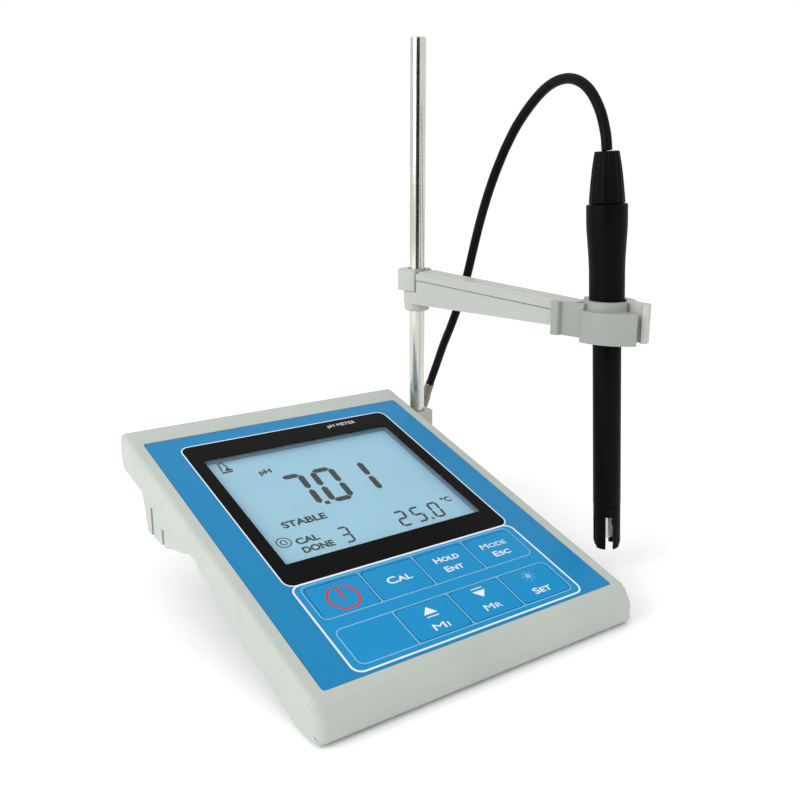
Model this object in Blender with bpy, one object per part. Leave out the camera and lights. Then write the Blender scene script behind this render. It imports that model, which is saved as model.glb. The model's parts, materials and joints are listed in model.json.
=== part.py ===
"""Benchtop pH meter with its electrode stand, electrode and cable.

All lengths below are millimetres and all angles degrees; meshes are written in metres.
The meter's own frame: X to the right, Y to the rear, Z up, with X = 0 on the housing's
centre line, Y = 0 at the front edge of the keypad label and Z = 0 on the table. The empty
"ph_meter" moves that frame so that the origin is under the centre of the whole object.
"""
import bpy
import bmesh
from math import sin, cos, tan, radians, pi, sqrt, hypot
from mathutils import Matrix, Vector
from mathutils.geometry import interpolate_bezier

MM = 0.001
GAP = 0.3

# --- driving dimensions -------------------------------------------------------------------
ORIGIN = (21.75, 86.75)           # centre of the object's footprint, in the meter's own frame

# housing
SLOPE = 16.0                    # the panel rises to the rear by this angle
HALF_W = 80.1
LABEL_W = 146.3
LABEL_D = 173.4
LABEL_Z = 17.6                  # height of the label's front edge
FRONT_Y = -8.3
REAR_Y = 181.8
BELLY_Z = 1.2                   # underside of the nose, above the table
WALL = 2.4
TOP_WALL = 3.0
FLOOR = 1.8

# label, display and keys, in the panel's plane
LABEL_TOP = -0.25               # the label lies a little below the rim around it
LABEL_T = 0.65
RECESS = 1.2
FRAME = (-58.4, 58.4, 54.1, 164.0)
VIEW = (-52.3, 52.3, 67.0, 151.0)
KEY_PITCH = 27.3
KEY_W, KEY_D = 25.7, 18.6
KEY_ROWS = (40.7, 14.9)
KEY_T = 0.35
PLUNGER_R = 4.0
PLUNGER_END = -6.1

# inside the housing, heights in the panel's plane
LCD_TOP, LCD_T = -3.4, 1.8
BACKLIGHT_T = 1.6
BOARD_TOP, BOARD_T = -7.3, 1.4

# stand
ROD_X, ROD_Y = 89.8, 167.3
ROD_R = 4.25
ROD_BOTTOM, ROD_TOP = 41.5, 260.0
BRACKET_TOP = 57.0
ARM_YAW = -80.36                # direction of the arm, from the rod to the electrode
REACH = 124.2                   # rod axis to electrode axis
ARM_HALF = 7.5
ARM_Z = 119.8
ARM_TOP, ARM_TAPER = 138.5, 0.0615
COVER_T = 4.8
CLIP_Z = 128.0                  # height at which the reach is measured
PIN_A, PIN_S = 109.5, -8.9      # clip pin, along and beside the arm
SPRING_Z = 129.9                # the lock button's spring

# electrode, measured along its own axis from the clip
LEAN = 3.2                      # it stands this far from upright in the clip
LEAN_YAW = 144.8                # and its head leans towards this direction
GRIP_R = 8.25
HANDLE_R = 9.4
SHAFT_R = 6.7
HANDLE_LOW, HANDLE_TOP = -14.0, 50.3
RELIEF_TOP = 73.7
SHAFT_LOW = -95.2
GUARD_LOW = -117.7

# cable and plug
CABLE_R = 2.45
SOCKET_X, SOCKET_Y, SOCKET_Z = 29.0, 164.0, 27.0


# --- small helpers ------------------------------------------------------------------------
def clear_scene():
    for obj in list(bpy.data.objects):
        bpy.data.objects.remove(obj, do_unlink=True)


def material(name, color, rough=0.5, metal=0.0, alpha=1.0):
    mat = bpy.data.materials.get(name) or bpy.data.materials.new(name)
    mat.use_nodes = True
    shader = mat.node_tree.nodes["Principled BSDF"]
    shader.inputs["Base Color"].default_value = (*color, 1.0)
    shader.inputs["Roughness"].default_value = rough
    shader.inputs["Metallic"].default_value = metal
    shader.inputs["Alpha"].default_value = alpha
    return mat


def frame(name, parent=None, at=(0, 0, 0), rotation=None):
    """An empty: a local frame for the pieces parented to it."""
    empty = bpy.data.objects.new(name, None)
    bpy.context.collection.objects.link(empty)
    empty.parent = parent
    turn = rotation.to_4x4() if rotation else Matrix.Identity(4)
    empty.matrix_local = Matrix.Translation(Vector(at) * MM) @ turn
    return empty


def solid(name, bm, parent, mat=None, at=(0, 0, 0), smooth=35.0):
    """Turn a bmesh in millimetres into an object in metres with outward faces."""
    bmesh.ops.recalc_face_normals(bm, faces=bm.faces)
    bmesh.ops.scale(bm, vec=(MM, MM, MM), verts=bm.verts)
    mesh = bpy.data.meshes.new(name)
    bm.to_mesh(mesh)
    bm.free()
    if smooth:
        mesh.shade_smooth()
        mesh.set_sharp_from_angle(angle=radians(smooth))
    obj = bpy.data.objects.new(name, mesh)
    bpy.context.collection.objects.link(obj)
    obj.parent = parent
    obj.location = Vector(at) * MM
    if mat:
        mesh.materials.append(mat)
    return obj


def combine(obj, others, operation):
    """Join or cut the object with other solids, which stay behind as hidden guides."""
    for other in others:
        other.hide_render = True
        other.display_type = "WIRE"
        mod = obj.modifiers.new(operation.title(), "BOOLEAN")
        mod.operation = operation
        mod.solver = "EXACT"
        mod.object = other
    return obj


def cut(obj, *cutters):
    return combine(obj, cutters, "DIFFERENCE")


def weld(obj, *others):
    return combine(obj, others, "UNION")


def rect(x0, x1, y0, y1, r=0.0, steps=4):
    """Corners of a rectangle, with round corners when r is given."""
    corners = [(x1, y1, 0), (x0, y1, 90), (x0, y0, 180), (x1, y0, 270)]
    if not r:
        return [(x, y) for x, y, _ in corners]
    points = []
    for x, y, start in corners:
        cx = x - r if x == x1 else x + r
        cy = y - r if y == y1 else y + r
        points += arc(cx, cy, r, start, start + 90, steps)
    return points


def arc(cx, cy, r, start, end, steps):
    angles = [radians(start + (end - start) * i / steps) for i in range(steps + 1)]
    return [(cx + r * cos(a), cy + r * sin(a)) for a in angles]


def rounded(corners, steps=4):
    """A closed outline through (x, y, radius) corners, each rounded by an arc."""
    outline = []
    for i, (x, y, r) in enumerate(corners):
        here = Vector((x, y))
        back = Vector(corners[i - 1][:2]) - here
        ahead = Vector(corners[(i + 1) % len(corners)][:2]) - here
        if not r:
            outline.append((x, y))
            continue
        half = back.angle(ahead) / 2
        centre = here + (back.normalized() + ahead.normalized()).normalized() * (r / sin(half))
        first = here + back.normalized() * (r / tan(half)) - centre
        last = here + ahead.normalized() * (r / tan(half)) - centre
        turn = first.angle_signed(last)
        for k in range(steps + 1):
            spoke = first.copy()
            spoke.rotate(Matrix.Rotation(-turn * k / steps, 2))
            outline.append(tuple(centre + spoke))
    return outline


def prism(outline, low, high, axis="Z"):
    """A bmesh: the outline carried from low to high along Z, or along X for (y, z) points."""
    bm = bmesh.new()
    place = (lambda p, h: (h, p[0], p[1])) if axis == "X" else (lambda p, h: (p[0], p[1], h))
    rings = [[bm.verts.new(place(p, h)) for p in outline] for h in (low, high)]
    bm.faces.new(rings[0])
    bm.faces.new(rings[1])
    bridge(bm, rings)
    return bm


def bridge(bm, rings, closed=True):
    for lower, upper in zip(rings, rings[1:]):
        count = len(lower)
        for i in range(count if closed else count - 1):
            k = (i + 1) % count
            bm.faces.new((lower[i], lower[k], upper[k], upper[i]))


def turned(profile, steps=32):
    """A bmesh turned about Z from (radius, height) points; points on the axis close it."""
    bm = bmesh.new()
    rings = []
    for r, z in profile:
        if r == 0:
            rings.append([bm.verts.new((0, 0, z))])
        else:
            turn = [2 * pi * i / steps for i in range(steps)]
            rings.append([bm.verts.new((r * cos(a), r * sin(a), z)) for a in turn])
    if len(rings[0]) > 1:
        rings.append(rings[0])
    for one, two in zip(rings, rings[1:]):
        for i in range(steps):
            k = (i + 1) % steps
            quad = [one[i % len(one)], one[k % len(one)], two[k % len(two)], two[i % len(two)]]
            bm.faces.new(list(dict.fromkeys(quad)))
    return bm


def ring(r_in, r_out, low, high, steps=32):
    return turned([(r_out, low), (r_out, high), (r_in, high), (r_in, low)], steps)


def rod(r, low, high, steps=32, chamfer=0.0):
    c = chamfer
    if not c:
        return turned([(0, low), (r, low), (r, high), (0, high)], steps)
    return turned([(0, low), (r - c, low), (r, low + c), (r, high - c), (r - c, high), (0, high)],
                  steps)


def moved(bm, matrix):
    bmesh.ops.transform(bm, matrix=matrix, verts=bm.verts)
    return bm


def along(axis, at=(0, 0, 0)):
    """Matrix that takes a solid built along Z to the given axis and place."""
    return Matrix.Translation(at) @ Vector(axis).to_track_quat("Z", "Y").to_matrix().to_4x4()


def merged(*parts):
    """Several separate solids in one bmesh."""
    bm = bmesh.new()
    for part in parts:
        mesh = bpy.data.meshes.new("part")
        part.to_mesh(mesh)
        part.free()
        bm.from_mesh(mesh)
        bpy.data.meshes.remove(mesh)
    return bm


def panel_z(y, below=0.0):
    """Height of the panel's plane at y, or of a parallel plane some way below it."""
    return LABEL_Z + y * tan(radians(SLOPE)) - below / cos(radians(SLOPE))


# --- housing ------------------------------------------------------------------------------
UNDERSIDE = ((8.6, BELLY_Z, 6.0), (89.5, 29.4, 4.0), (95.0, 33.0, 4.0), (157.0, 46.2, 3.0))
WING_LOW_Z = 51.3


def underside_z(y):
    """Height of the housing's lower edge at y."""
    line = [(FRONT_Y, BELLY_Z)] + [p[:2] for p in UNDERSIDE] + [(REAR_Y, WING_LOW_Z)]
    for (y0, z0), (y1, z1) in zip(line, line[1:]):
        if y0 <= y <= y1:
            return z0 + (z1 - z0) * (y - y0) / (y1 - y0)


def housing_outline():
    """Side view of the housing: a slab that rises to the rear from a rounded nose."""
    nose = [(FRONT_Y, BELLY_Z, 2.6), (FRONT_Y, 9.5, 4.5), (-4.6, 15.2, 3.0),
            (-1.6, panel_z(-1.6), 3.0)]
    tail = [(REAR_Y, panel_z(REAR_Y), 3.2), (REAR_Y, WING_LOW_Z, 7.0)]
    return rounded((nose + tail + list(reversed(UNDERSIDE)))[::-1], steps=3)


def edge_radius(normal):
    """How much the side edges are rounded: most at the nose, least underneath."""
    y, z = normal
    return sqrt((4.6 * min(y, 0)) ** 2 + (3.0 * max(y, 0)) ** 2
                + (2.8 * max(z, 0)) ** 2 + (1.5 * min(z, 0)) ** 2)


def pillow(outline, half_width, steps=3):
    """A slab across X whose outline rounds over into flat sides."""
    count = len(outline)
    normals = []
    for i in range(count):
        (y0, z0), (y1, z1) = outline[i - 1], outline[(i + 1) % count]
        length = hypot(y1 - y0, z1 - z0)
        normals.append((-(z1 - z0) / length, (y1 - y0) / length))
    area = sum(outline[i - 1][0] * outline[i][1] - outline[i][0] * outline[i - 1][1]
               for i in range(count))
    if area > 0:
        normals = [(-y, -z) for y, z in normals]
    bm = bmesh.new()
    rings = []
    for side in (-1, 1):
        angles = [pi / 2 * k / steps for k in range(steps + 1)]
        for angle in (reversed(angles) if side < 0 else angles):
            loop = []
            for (y, z), (ny, nz) in zip(outline, normals):
                r = edge_radius((ny, nz))
                inset = r * (1 - cos(angle))
                x = side * (half_width - r * (1 - sin(angle)))
                loop.append(bm.verts.new((x, y - ny * inset, z - nz * inset)))
            rings.append(loop)
    bridge(bm, rings)
    bm.faces.new(rings[0])
    bm.faces.new(rings[-1])
    return bm


SCREWS = ((-71.0, 15.0), (71.0, 15.0), (-71.0, 166.0), (71.0, 166.0))
SOCKETS = {"bnc": (SOCKET_X, 5.1), "temperature": (9.5, 4.2), "data": (-7.0, 4.2),
           "power": (-25.0, 4.8)}


def key_places():
    """Name and panel position of each key: four above, three below with the first blank."""
    columns = [KEY_PITCH * (i - 1.5) for i in range(4)]
    upper = zip(("power_key", "cal_key", "hold_key", "mode_key"), columns)
    lower = zip(("up_key", "down_key", "light_key"), columns[1:])
    return ([(name, u, KEY_ROWS[0]) for name, u in upper]
            + [(name, u, KEY_ROWS[1]) for name, u in lower])


def upper_housing(meter, panel, mat):
    body = solid("upper_housing", pillow(housing_outline(), HALF_W), meter, mat)
    inner_nose = [(FRONT_Y + WALL, -9.0), (FRONT_Y + WALL, 8.6), (-2.6, 12.6)]
    inner_top = [(0.0, panel_z(0.0, TOP_WALL)), (REAR_Y - WALL, panel_z(REAR_Y - WALL, TOP_WALL))]
    inner_tail = [(REAR_Y - WALL, 20.0), (100.0, -9.0)]
    cavity = solid("cavity_cutter", prism(inner_nose + inner_top + inner_tail, -HALF_W + WALL,
                                          HALF_W - WALL, "X"), meter)
    bosses = [moved(rod(4.0, underside_z(y) + FLOOR + 3.2, panel_z(y, TOP_WALL - 0.4), 12),
                    Matrix.Translation((x, y, 0))) for x, y in SCREWS]
    pilots = [moved(rod(1.8, 0.0, panel_z(y, TOP_WALL + 1.5), 10), Matrix.Translation((x, y, 0)))
              for x, y in SCREWS]
    recess = solid("label_recess_cutter", prism(rect(-LABEL_W / 2 - GAP, LABEL_W / 2 + GAP, -GAP,
                                                     LABEL_D + GAP, 1.5, 2), -RECESS, 5.0), panel)
    u0, u1, v0, v1 = FRAME
    pocket = solid("display_pocket_cutter", prism(rect(u0 - GAP, u1 + GAP, v0 - GAP, v1 + GAP, 4.0, 3),
                                                  -1.95, 5.0), panel)
    u0, u1, v0, v1 = VIEW
    window = solid("display_opening_cutter", prism(rect(u0 - 0.4, u1 + 0.4, v0 - 0.4, v1 + 0.4),
                                                   -6.0, 5.0), panel)
    holes = [moved(rod(PLUNGER_R + 0.5, -6.0, 5.0, 12), Matrix.Translation((u, v, 0)))
             for _, u, v in key_places()]
    cut(body, cavity)
    weld(body, solid("boss_guide", merged(*bosses), meter))
    cut(body, solid("pilot_cutter", merged(*pilots), meter), recess, pocket, window,
        solid("plunger_cutter", merged(*holes), panel))
    return body


BULGE = ((98.5, 31.9, 2.0), (107.0, 32.4, 6.0), (117.8, 30.3, 6.0), (126.5, 27.6, 2.0),
         (148.9, 28.4, 2.0), (150.4, 36.0, 6.0), (153.6, 44.9, 0.0))
PLINTH = (-46.0, 46.0, 104.0, 164.0)
PLINTH_Z = 3.0
SLOT_Y = (129.8, 142.5)
SLOT_W = 2.4


def lower_housing(meter, mat):
    """The floor that closes the housing, with a deep pan and a plinth under its rear half."""
    half = HALF_W - WALL - GAP
    front, rear = FRONT_Y + WALL + GAP, REAR_Y - WALL - GAP
    low = [(front, BELLY_Z)] + [p[:2] for p in UNDERSIDE] + [(rear, underside_z(rear))]
    high = [(y, z + FLOOR) for y, z in reversed(low)]
    body = solid("lower_housing", prism(low + high, -half, half, "X"), meter, mat)

    top = [(y, underside_z(y) - GAP) for y in (153.6, 98.5)]
    pan_line = rounded([(*top[1], 0.0)] + list(BULGE[1:-1]) + [(*top[0], 0.0)], 3)
    pan = solid("pan_guide", prism(pan_line, -HALF_W + 0.3, HALF_W - 0.3, "X"), meter)
    join_line = [(101.0, 33.0), (150.0, 41.0), (152.5, 45.3), (101.0, 34.4)]
    pan_join = solid("pan_join_guide", prism(join_line, -half + 2, half - 2, "X"), meter)
    u0, u1, v0, v1 = PLINTH
    plinth = solid("plinth_guide", prism(rect(u0, u1, v0, v1, 8.0, 3), PLINTH_Z, 60.0), meter)
    above = [(y, underside_z(y) + FLOOR / 2) for y in (95.0, 157.0, 170.0)] + [(170.0, 80.0),
                                                                            (95.0, 80.0)]
    cut(plinth, solid("above_floor_cutter", prism(above, u0 - 5, u1 + 5, "X"), meter))
    weld(body, pan_join, pan, plinth)

    inner_pan = [(104.5, underside_z(104.5) + 4.0), (110.0, 35.0), (118.5, 32.8), (127.0, 30.2),
                 (146.8, 30.8), (148.2, 37.0), (150.2, underside_z(150.2) + 4.0)]
    pan_void = solid("pan_void_cutter", prism(inner_pan, -half + WALL, half - WALL, "X"), meter)
    plinth_void = solid("plinth_void_cutter", prism(rect(u0 + WALL, u1 - WALL, v0 + WALL, v1 - WALL,
                                                         6.0, 3), PLINTH_Z + WALL, 49.5), meter)
    ports = [moved(rod(r + GAP, -8.0, 8.0, 16), along((0, 1, 0), (x, SOCKET_Y, SOCKET_Z)))
             for x, r in SOCKETS.values()]
    cut(body, pan_void, plinth_void, solid("port_cutter", merged(*ports), meter))

    pads = [moved(rod(4.4, underside_z(y) + 0.4, underside_z(y) + FLOOR + 2.6, 12),
                  Matrix.Translation((x, y, 0))) for x, y in SCREWS]
    holes = [moved(rod(1.8, 0.0, 60.0, 10), Matrix.Translation((x, y, 0))) for x, y in SCREWS]
    heads = [moved(rod(3.5, -2.0, underside_z(y) + 2.4, 12), Matrix.Translation((x, y, 0)))
             for x, y in SCREWS]
    slots = [prism(rect(side * 72.0 if side > 0 else -82.0, 82.0 if side > 0 else -72.0,
                        y - SLOT_W / 2, y + SLOT_W / 2), 20.0, top_z)
             for side in (-1, 1) for y, top_z in zip(SLOT_Y, (35.6, 42.0))]
    weld(body, solid("pad_guide", merged(*pads), meter))
    cut(body, solid("screw_hole_cutter", merged(*holes), meter),
        solid("screw_head_cutter", merged(*heads), meter),
        solid("slot_cutter", merged(*slots), meter))
    return body


def feet(meter, mat):
    for name, x, y, r, top in (("foot_front_left", -64.0, 2.2, 4.5, BELLY_Z - GAP),
                               ("foot_front_right", 64.0, 2.2, 4.5, BELLY_Z - GAP),
                               ("foot_rear_left", -36.0, 154.0, 6.5, PLINTH_Z - GAP),
                               ("foot_rear_right", 36.0, 154.0, 6.5, PLINTH_Z - GAP)):
        solid(name, rod(r, 0.0, top, 20, chamfer=0.3), meter, mat, at=(x, y, 0))


def housing_screws(meter, mat):
    for number, (x, y) in enumerate(SCREWS, 1):
        base = underside_z(y)
        top = panel_z(y, TOP_WALL + 1.9)
        shape = [(0, base + 0.3), (2.6, base + 0.3), (3.1, base + 0.9), (3.1, base + 2.1),
                 (1.5, base + 2.1), (1.5, top - 1.0), (0.6, top), (0, top)]
        solid("housing_screw_%d" % number, turned(shape, 10), meter, mat, at=(x, y, 0))


# --- label, display, keys and what is under them ------------------------------------------
def panel_pieces(panel, mats):
    top, low = LABEL_TOP, LABEL_TOP - LABEL_T
    label = solid("keypad_label", prism(rect(-LABEL_W / 2, LABEL_W / 2, 0.0, LABEL_D, 1.2, 2),
                                        low, top), panel, mats["label"])
    u0, u1, v0, v1 = FRAME
    openings = [prism(rect(u0 - GAP, u1 + GAP, v0 - GAP, v1 + GAP, 4.0, 3), -5.0, 5.0)]
    half_w, half_d = KEY_W / 2 + GAP, KEY_D / 2 + GAP
    openings += [prism(rect(u - half_w, u + half_w, v - half_d, v + half_d, 2.2, 2), -5.0, 5.0)
                 for _, u, v in key_places()]
    cut(label, solid("label_openings_cutter", merged(*openings), panel))

    frame_ring = solid("display_frame", prism(rect(*FRAME, 3.7), top - 0.4, top), panel,
                       mats["black"])
    cut(frame_ring, solid("frame_opening_cutter", prism(rect(*VIEW, 0.8), -5.0, 5.0), panel))
    u0, u1, v0, v1 = FRAME
    solid("display_window", prism(rect(u0 + GAP, u1 - GAP, v0 + GAP, v1 - GAP, 3.4),
                                  top - 1.35, top - 0.7), panel, mats["clear"])
    u0, u1, v0, v1 = VIEW
    solid("lcd_glass", prism(rect(u0 - 2.2, u1 + 2.2, v0 - 2.2, v1 + 2.2), LCD_TOP - LCD_T,
                             LCD_TOP), panel, mats["lcd"])
    low = LCD_TOP - LCD_T - GAP
    solid("backlight_panel", prism(rect(u0 - 2.2, u1 + 2.2, v0 - 2.2, v1 + 2.2),
                                   low - BACKLIGHT_T, low), panel, mats["white"])
    holder = solid("lcd_holder", prism(rect(u0 - 4.2, u1 + 4.2, v0 - 4.2, v1 + 4.2, 1.0),
                                       BOARD_TOP + 0.2, -TOP_WALL - GAP), panel, mats["white"])
    cut(holder, solid("holder_cutter", prism(rect(u0 - 2.5, u1 + 2.5, v0 - 2.5, v1 + 2.5),
                                             -12.0, 5.0), panel))
    solid("main_board", prism(rect(-65.0, 65.0, 4.0, 170.0, 2.0), BOARD_TOP - BOARD_T,
                              BOARD_TOP), panel, mats["board"])
    sheet = solid("dome_sheet", prism(rect(-56.0, 56.0, 6.0, 50.0, 2.0), BOARD_TOP + 0.2,
                                      BOARD_TOP + 0.4), panel, mats["clear"])
    domes = [moved(turned([(0, BOARD_TOP + 0.25), (4.0, BOARD_TOP + 0.25), (3.4, BOARD_TOP + 0.5),
                           (0, BOARD_TOP + 0.65)], 10), Matrix.Translation((u, v, 0)))
             for _, u, v in key_places()]
    weld(sheet, solid("dome_guide", merged(*domes), panel))
    for name, u, v in key_places():
        half_w, half_d = KEY_W / 2, KEY_D / 2
        key = solid(name, prism(rect(-half_w, half_w, -half_d, half_d, 2.0, 2), top - KEY_T, top),
                    panel, mats["key"], at=(u, v, 0))
        weld(key, solid(name + "_plunger_guide", rod(PLUNGER_R, PLUNGER_END, top - 0.1, 12),
                        panel, at=(u, v, 0)))


def board_standoffs(meter, mat):
    places = [(x, y) for y in (14.0, 160.0) for x in (-58.0, 58.0)]
    for number, (x, y) in enumerate(places, 1):
        low, high = underside_z(y) + FLOOR + 1.2, panel_z(y, -BOARD_TOP + BOARD_T + 1.4)
        solid("board_standoff_%d" % number, rod(2.6, low, high, 6), meter, mat, at=(x, y, 0))


# --- sockets on the rear face -------------------------------------------------------------
def sockets(meter, mats):
    def on_rear(name, bm, x, mat):
        return solid(name, moved(bm, along((0, 1, 0))), meter, mat, at=(x, SOCKET_Y, SOCKET_Z))

    wall = -WALL - GAP
    barrel = [(0, -9.0), (3.6, -9.0), (3.6, wall - 1.6), (5.8, wall - 1.6), (5.8, wall), (5.0, wall),
              (5.0, GAP), (6.4, GAP), (6.4, 1.5), (4.75, 1.5), (4.75, 10.8), (3.6, 10.8),
              (3.6, 3.0), (1.1, 3.0), (1.1, 8.6), (0, 8.6)]
    socket = on_rear("bnc_socket", turned(barrel, 24), SOCKET_X, mats["nickel"])
    studs = [moved(rod(0.9, 4.5, 5.6, 12), along(side, (0, 6.2, 0)))
             for side in ((1, 0, 0), (-1, 0, 0))]
    weld(socket, solid("bnc_stud_guide", merged(*studs), meter, at=(SOCKET_X, SOCKET_Y, SOCKET_Z)))
    for name, bore, mat in (("temperature", 1.8, "nickel"), ("data", 1.6, "black"),
                            ("power", 1.9, "black")):
        x, r = SOCKETS[name]
        flange = r + 1.6
        shape = [(0, -9.0), (r, -9.0), (r, GAP), (flange, GAP), (flange, 1.6), (flange - 0.5, 2.1),
                 (bore, 2.1), (bore, -7.0), (0, -7.0)]
        on_rear(name + "_socket", turned(shape, 20), x, mats[mat])


# --- stand --------------------------------------------------------------------------------
def stand(meter, mats):
    """Bracket on the right of the housing, with a tongue screwed under its rear wing."""
    low, high = 38.6, BRACKET_TOP
    block_line = rect(HALF_W + GAP, ROD_X + 8.0, ROD_Y - 6.2, ROD_Y + 6.2, 2.0)
    bracket = solid("stand_bracket", prism(block_line, low, high), meter, mats["shell"])
    tongue = prism(rect(54.0, HALF_W + 4.0, ROD_Y - 6.0, ROD_Y + 6.0, 1.0), low + 0.4, 44.4)
    weld(bracket, solid("tongue_guide", tongue, meter))
    screw_x = (59.0, 67.5)
    holes = [moved(rod(1.9, 30.0, 50.0, 10), Matrix.Translation((x, ROD_Y, 0))) for x in screw_x]
    cut(bracket, solid("rod_bore_cutter", rod(ROD_R + GAP, ROD_BOTTOM - GAP, 70.0, 24), meter,
                       at=(ROD_X, ROD_Y, 0)),
        solid("bracket_hole_cutter", merged(*holes), meter))
    shape = [(0, 36.4), (2.4, 36.4), (3.0, 37.2), (3.0, 38.7), (1.5, 38.7), (1.5, 44.9), (0, 44.9)]
    for number, x in enumerate(screw_x, 1):
        solid("bracket_screw_%d" % number, turned(shape, 10), meter, mats["steel"],
              at=(x, ROD_Y, 0))
    steel_rod = solid("stand_rod", rod(ROD_R, ROD_BOTTOM, ROD_TOP, 24, chamfer=0.5), meter,
                      mats["steel"], at=(ROD_X, ROD_Y, 0))
    return steel_rod


def arm_top(a, below=0.0):
    return ARM_TOP - ARM_TAPER * a - below


def arm_pieces(arm, mats):
    """Arm in its own frame: X from the rod to the electrode, -Y on the near side."""
    half = ARM_HALF
    side_line = [(-6.0, ARM_Z), (113.0, ARM_Z), (113.0, arm_top(113.0, COVER_T + GAP)),
                 (6.0, arm_top(6.0, COVER_T + GAP)), (6.0, 126.6), (-6.0, 126.6)]
    body = solid("arm_body", side_prism(side_line, half - 0.5), arm, mats["arm"])
    round_end = solid("arm_end_cutter", end_corners(half - 0.5), arm)
    boss = solid("arm_boss_guide", rod(7.0, 115.6, 121.0, 24, chamfer=0.8), arm)
    ear = prism(rect(107.4, 111.6, -10.1, -5.5, 1.2, 4), 119.9, 121.8)
    back = solid("back_jaw_guide", prism(back_jaw_line(), 116.2, 134.3), arm)
    weld(body, boss, solid("ear_guide", ear, arm), back)
    channel = solid("arm_channel_cutter",
                    side_prism([(13.5, ARM_Z + 2.2), (110.0, ARM_Z + 2.2), (110.0, 150.0),
                                (13.5, 150.0)], half - 2.7), arm)
    pocket = solid("spring_pocket_cutter", moved(rod(2.7, 0.0, 12.3, 12),
                                                 along((1, 0, 0), (0, 0, SPRING_Z))), arm)
    bore = solid("bush_bore_cutter", rod(6.0, 100.0, 150.0, 24), arm)
    cut(body, round_end, channel, bore, pocket)

    cover_line = [(6.0, arm_top(6.0, COVER_T)), (110.0, arm_top(110.0, COVER_T)),
                  (110.0, arm_top(110.0)), (6.0, arm_top(6.0))]
    cover_bm = side_prism(cover_line, half + 0.1)
    rim = [e for e in cover_bm.edges if all(v.co.z > arm_top(v.co.x) - 0.01 for v in e.verts)]
    bmesh.ops.bevel(cover_bm, geom=rim, offset=1.2, segments=2, affect="EDGES")
    solid("arm_cover", cover_bm, arm, mats["arm"])
    solid("rod_bush", ring(ROD_R + 0.1, 5.7, 115.8, 126.2, 24), arm, mats["white"])
    return body


def side_prism(outline, half):
    """An outline of (x, z) points carried across Y from -half to half."""
    bm = bmesh.new()
    rings = [[bm.verts.new((x, y, z)) for x, z in outline] for y in (-half, half)]
    bm.faces.new(rings[0])
    bm.faces.new(rings[1])
    bridge(bm, rings)
    return bm


def end_corners(half):
    """Cutter that rounds the two corners of the arm behind the rod."""
    r = 4.0
    cutters = []
    for side in (-1, 1):
        y0 = side * half
        corner = [(-7.0, y0 + side), (-7.0, y0 - side * r)]
        sweep = arc(-6.0 + r, y0 - side * r, r, 180.0, 180.0 - side * 90.0, 5)
        corner += sweep + [(-6.0 + r, y0 + side)]
        cutters.append(prism(corner, 110.0, 130.0))
    return merged(*cutters)


def back_jaw_line():
    """Plan of the fixed jaw, which holds the electrode's far side and ends in a lip."""
    r_out, r_in = 13.0, GRIP_R + 0.75
    outer = arc(REACH, 0.0, r_out, 128.0, 32.0, 12)
    inner = arc(REACH, 0.0, r_in, 5.0, 175.0, 18)
    lip = [(139.0, 4.8), (145.0, 3.8), (146.0, -0.4), (143.6, -1.2), (142.0, 0.6)]
    root = [(110.5, 0.8), (110.5, 6.6)]
    return outer + lip + inner + root


def near_jaw_lines():
    """Plans of the moving jaw: finger tab with its web, front plate, and the ring behind it."""
    tab = rounded([(119.5, -8.4, 0), (117.2, -8.4, 0), (115.2, -10.9, 0), (102.4, -10.9, 0.5),
                   (102.4, -15.2, 1.4), (107.0, -15.2, 1.0), (107.4, -12.6, 0), (119.5, -12.6, 0)],
                  4)
    corner = arc(121.2, -12.0, 3.0, 180.0, 255.0, 6)
    front = arc(124.3, 9.1, 24.3, 261.0, 320.0, 12)
    tip = [(143.7, -5.6), (143.6, -4.6), (142.6, -4.0), (136.0, -2.6)]
    plate = corner + front + tip + arc(REACH, 0.0, 10.0, 348.0, 218.0, 12)
    ring_line = (arc(REACH, 0.0, 11.4, 212.0, 354.0, 18)
                 + arc(REACH, 0.0, GRIP_R + 0.55, 354.0, 212.0, 18))
    return tab, plate, ring_line


def clip_pieces(arm, mats):
    hinge = frame("clip_hinge", arm, at=(PIN_A, PIN_S, 0))
    tab, plate, ring_line = [[(a - PIN_A, s - PIN_S) for a, s in line]
                             for line in near_jaw_lines()]
    jaw = solid("clip_jaw", prism(plate, 115.4, 130.2), hinge, mats["arm"])
    low, high = 122.1, 126.3
    boss = merged(rod(1.4, low, high, 16))
    root = prism(rect(-1.4, 1.4, -2.6, 0.0), low + 0.01, high - 0.01)
    weld(jaw, solid("jaw_ring_guide", prism(ring_line, 115.5, 134.3), hinge),
         solid("jaw_tab_guide", prism(tab, 117.1, 133.1), hinge),
         solid("jaw_root_guide", root, hinge), solid("jaw_boss_guide", boss, hinge))
    cut(jaw, solid("jaw_bore_cutter", rod(0.7 + GAP, 121.9, 126.5, 12), hinge))
    solid("clip_pin", rod(0.7, 122.1, 126.3, 12), hinge, mats["steel"])
    return jaw


def lock_button(arm, mats):
    """Push block around the rod; pressing it towards the arm frees the rod."""
    half = ARM_HALF
    low, high = 126.9, arm_top(-6.0)
    bm = prism(rounded([(-9.2, -half, 2.4), (4.8, -half, 1.2), (4.8, half, 1.2),
                        (-9.2, half, 2.4)], 3), low, high)
    rim = [e for e in bm.edges if all(v.co.z > high - 0.01 for v in e.verts)]
    bmesh.ops.bevel(bm, geom=rim, offset=0.7, segments=2, affect="EDGES", clamp_overlap=True)
    button = solid("lock_button", bm, arm, mats["arm"])
    slot = [(-1.2 + x if x < 0 else x, y) for x, y in arc(0, 0, ROD_R + GAP, 0.0, 345.0, 23)]
    cut(button, solid("button_slot_cutter", prism(slot, 100.0, 150.0), arm))
    wire = helix(1.9, 0.4, 6.6, 11.5, 4)
    solid("lock_spring", moved(wire, along((1, 0, 0), (0, 0, SPRING_Z))), arm, mats["steel"])


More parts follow.
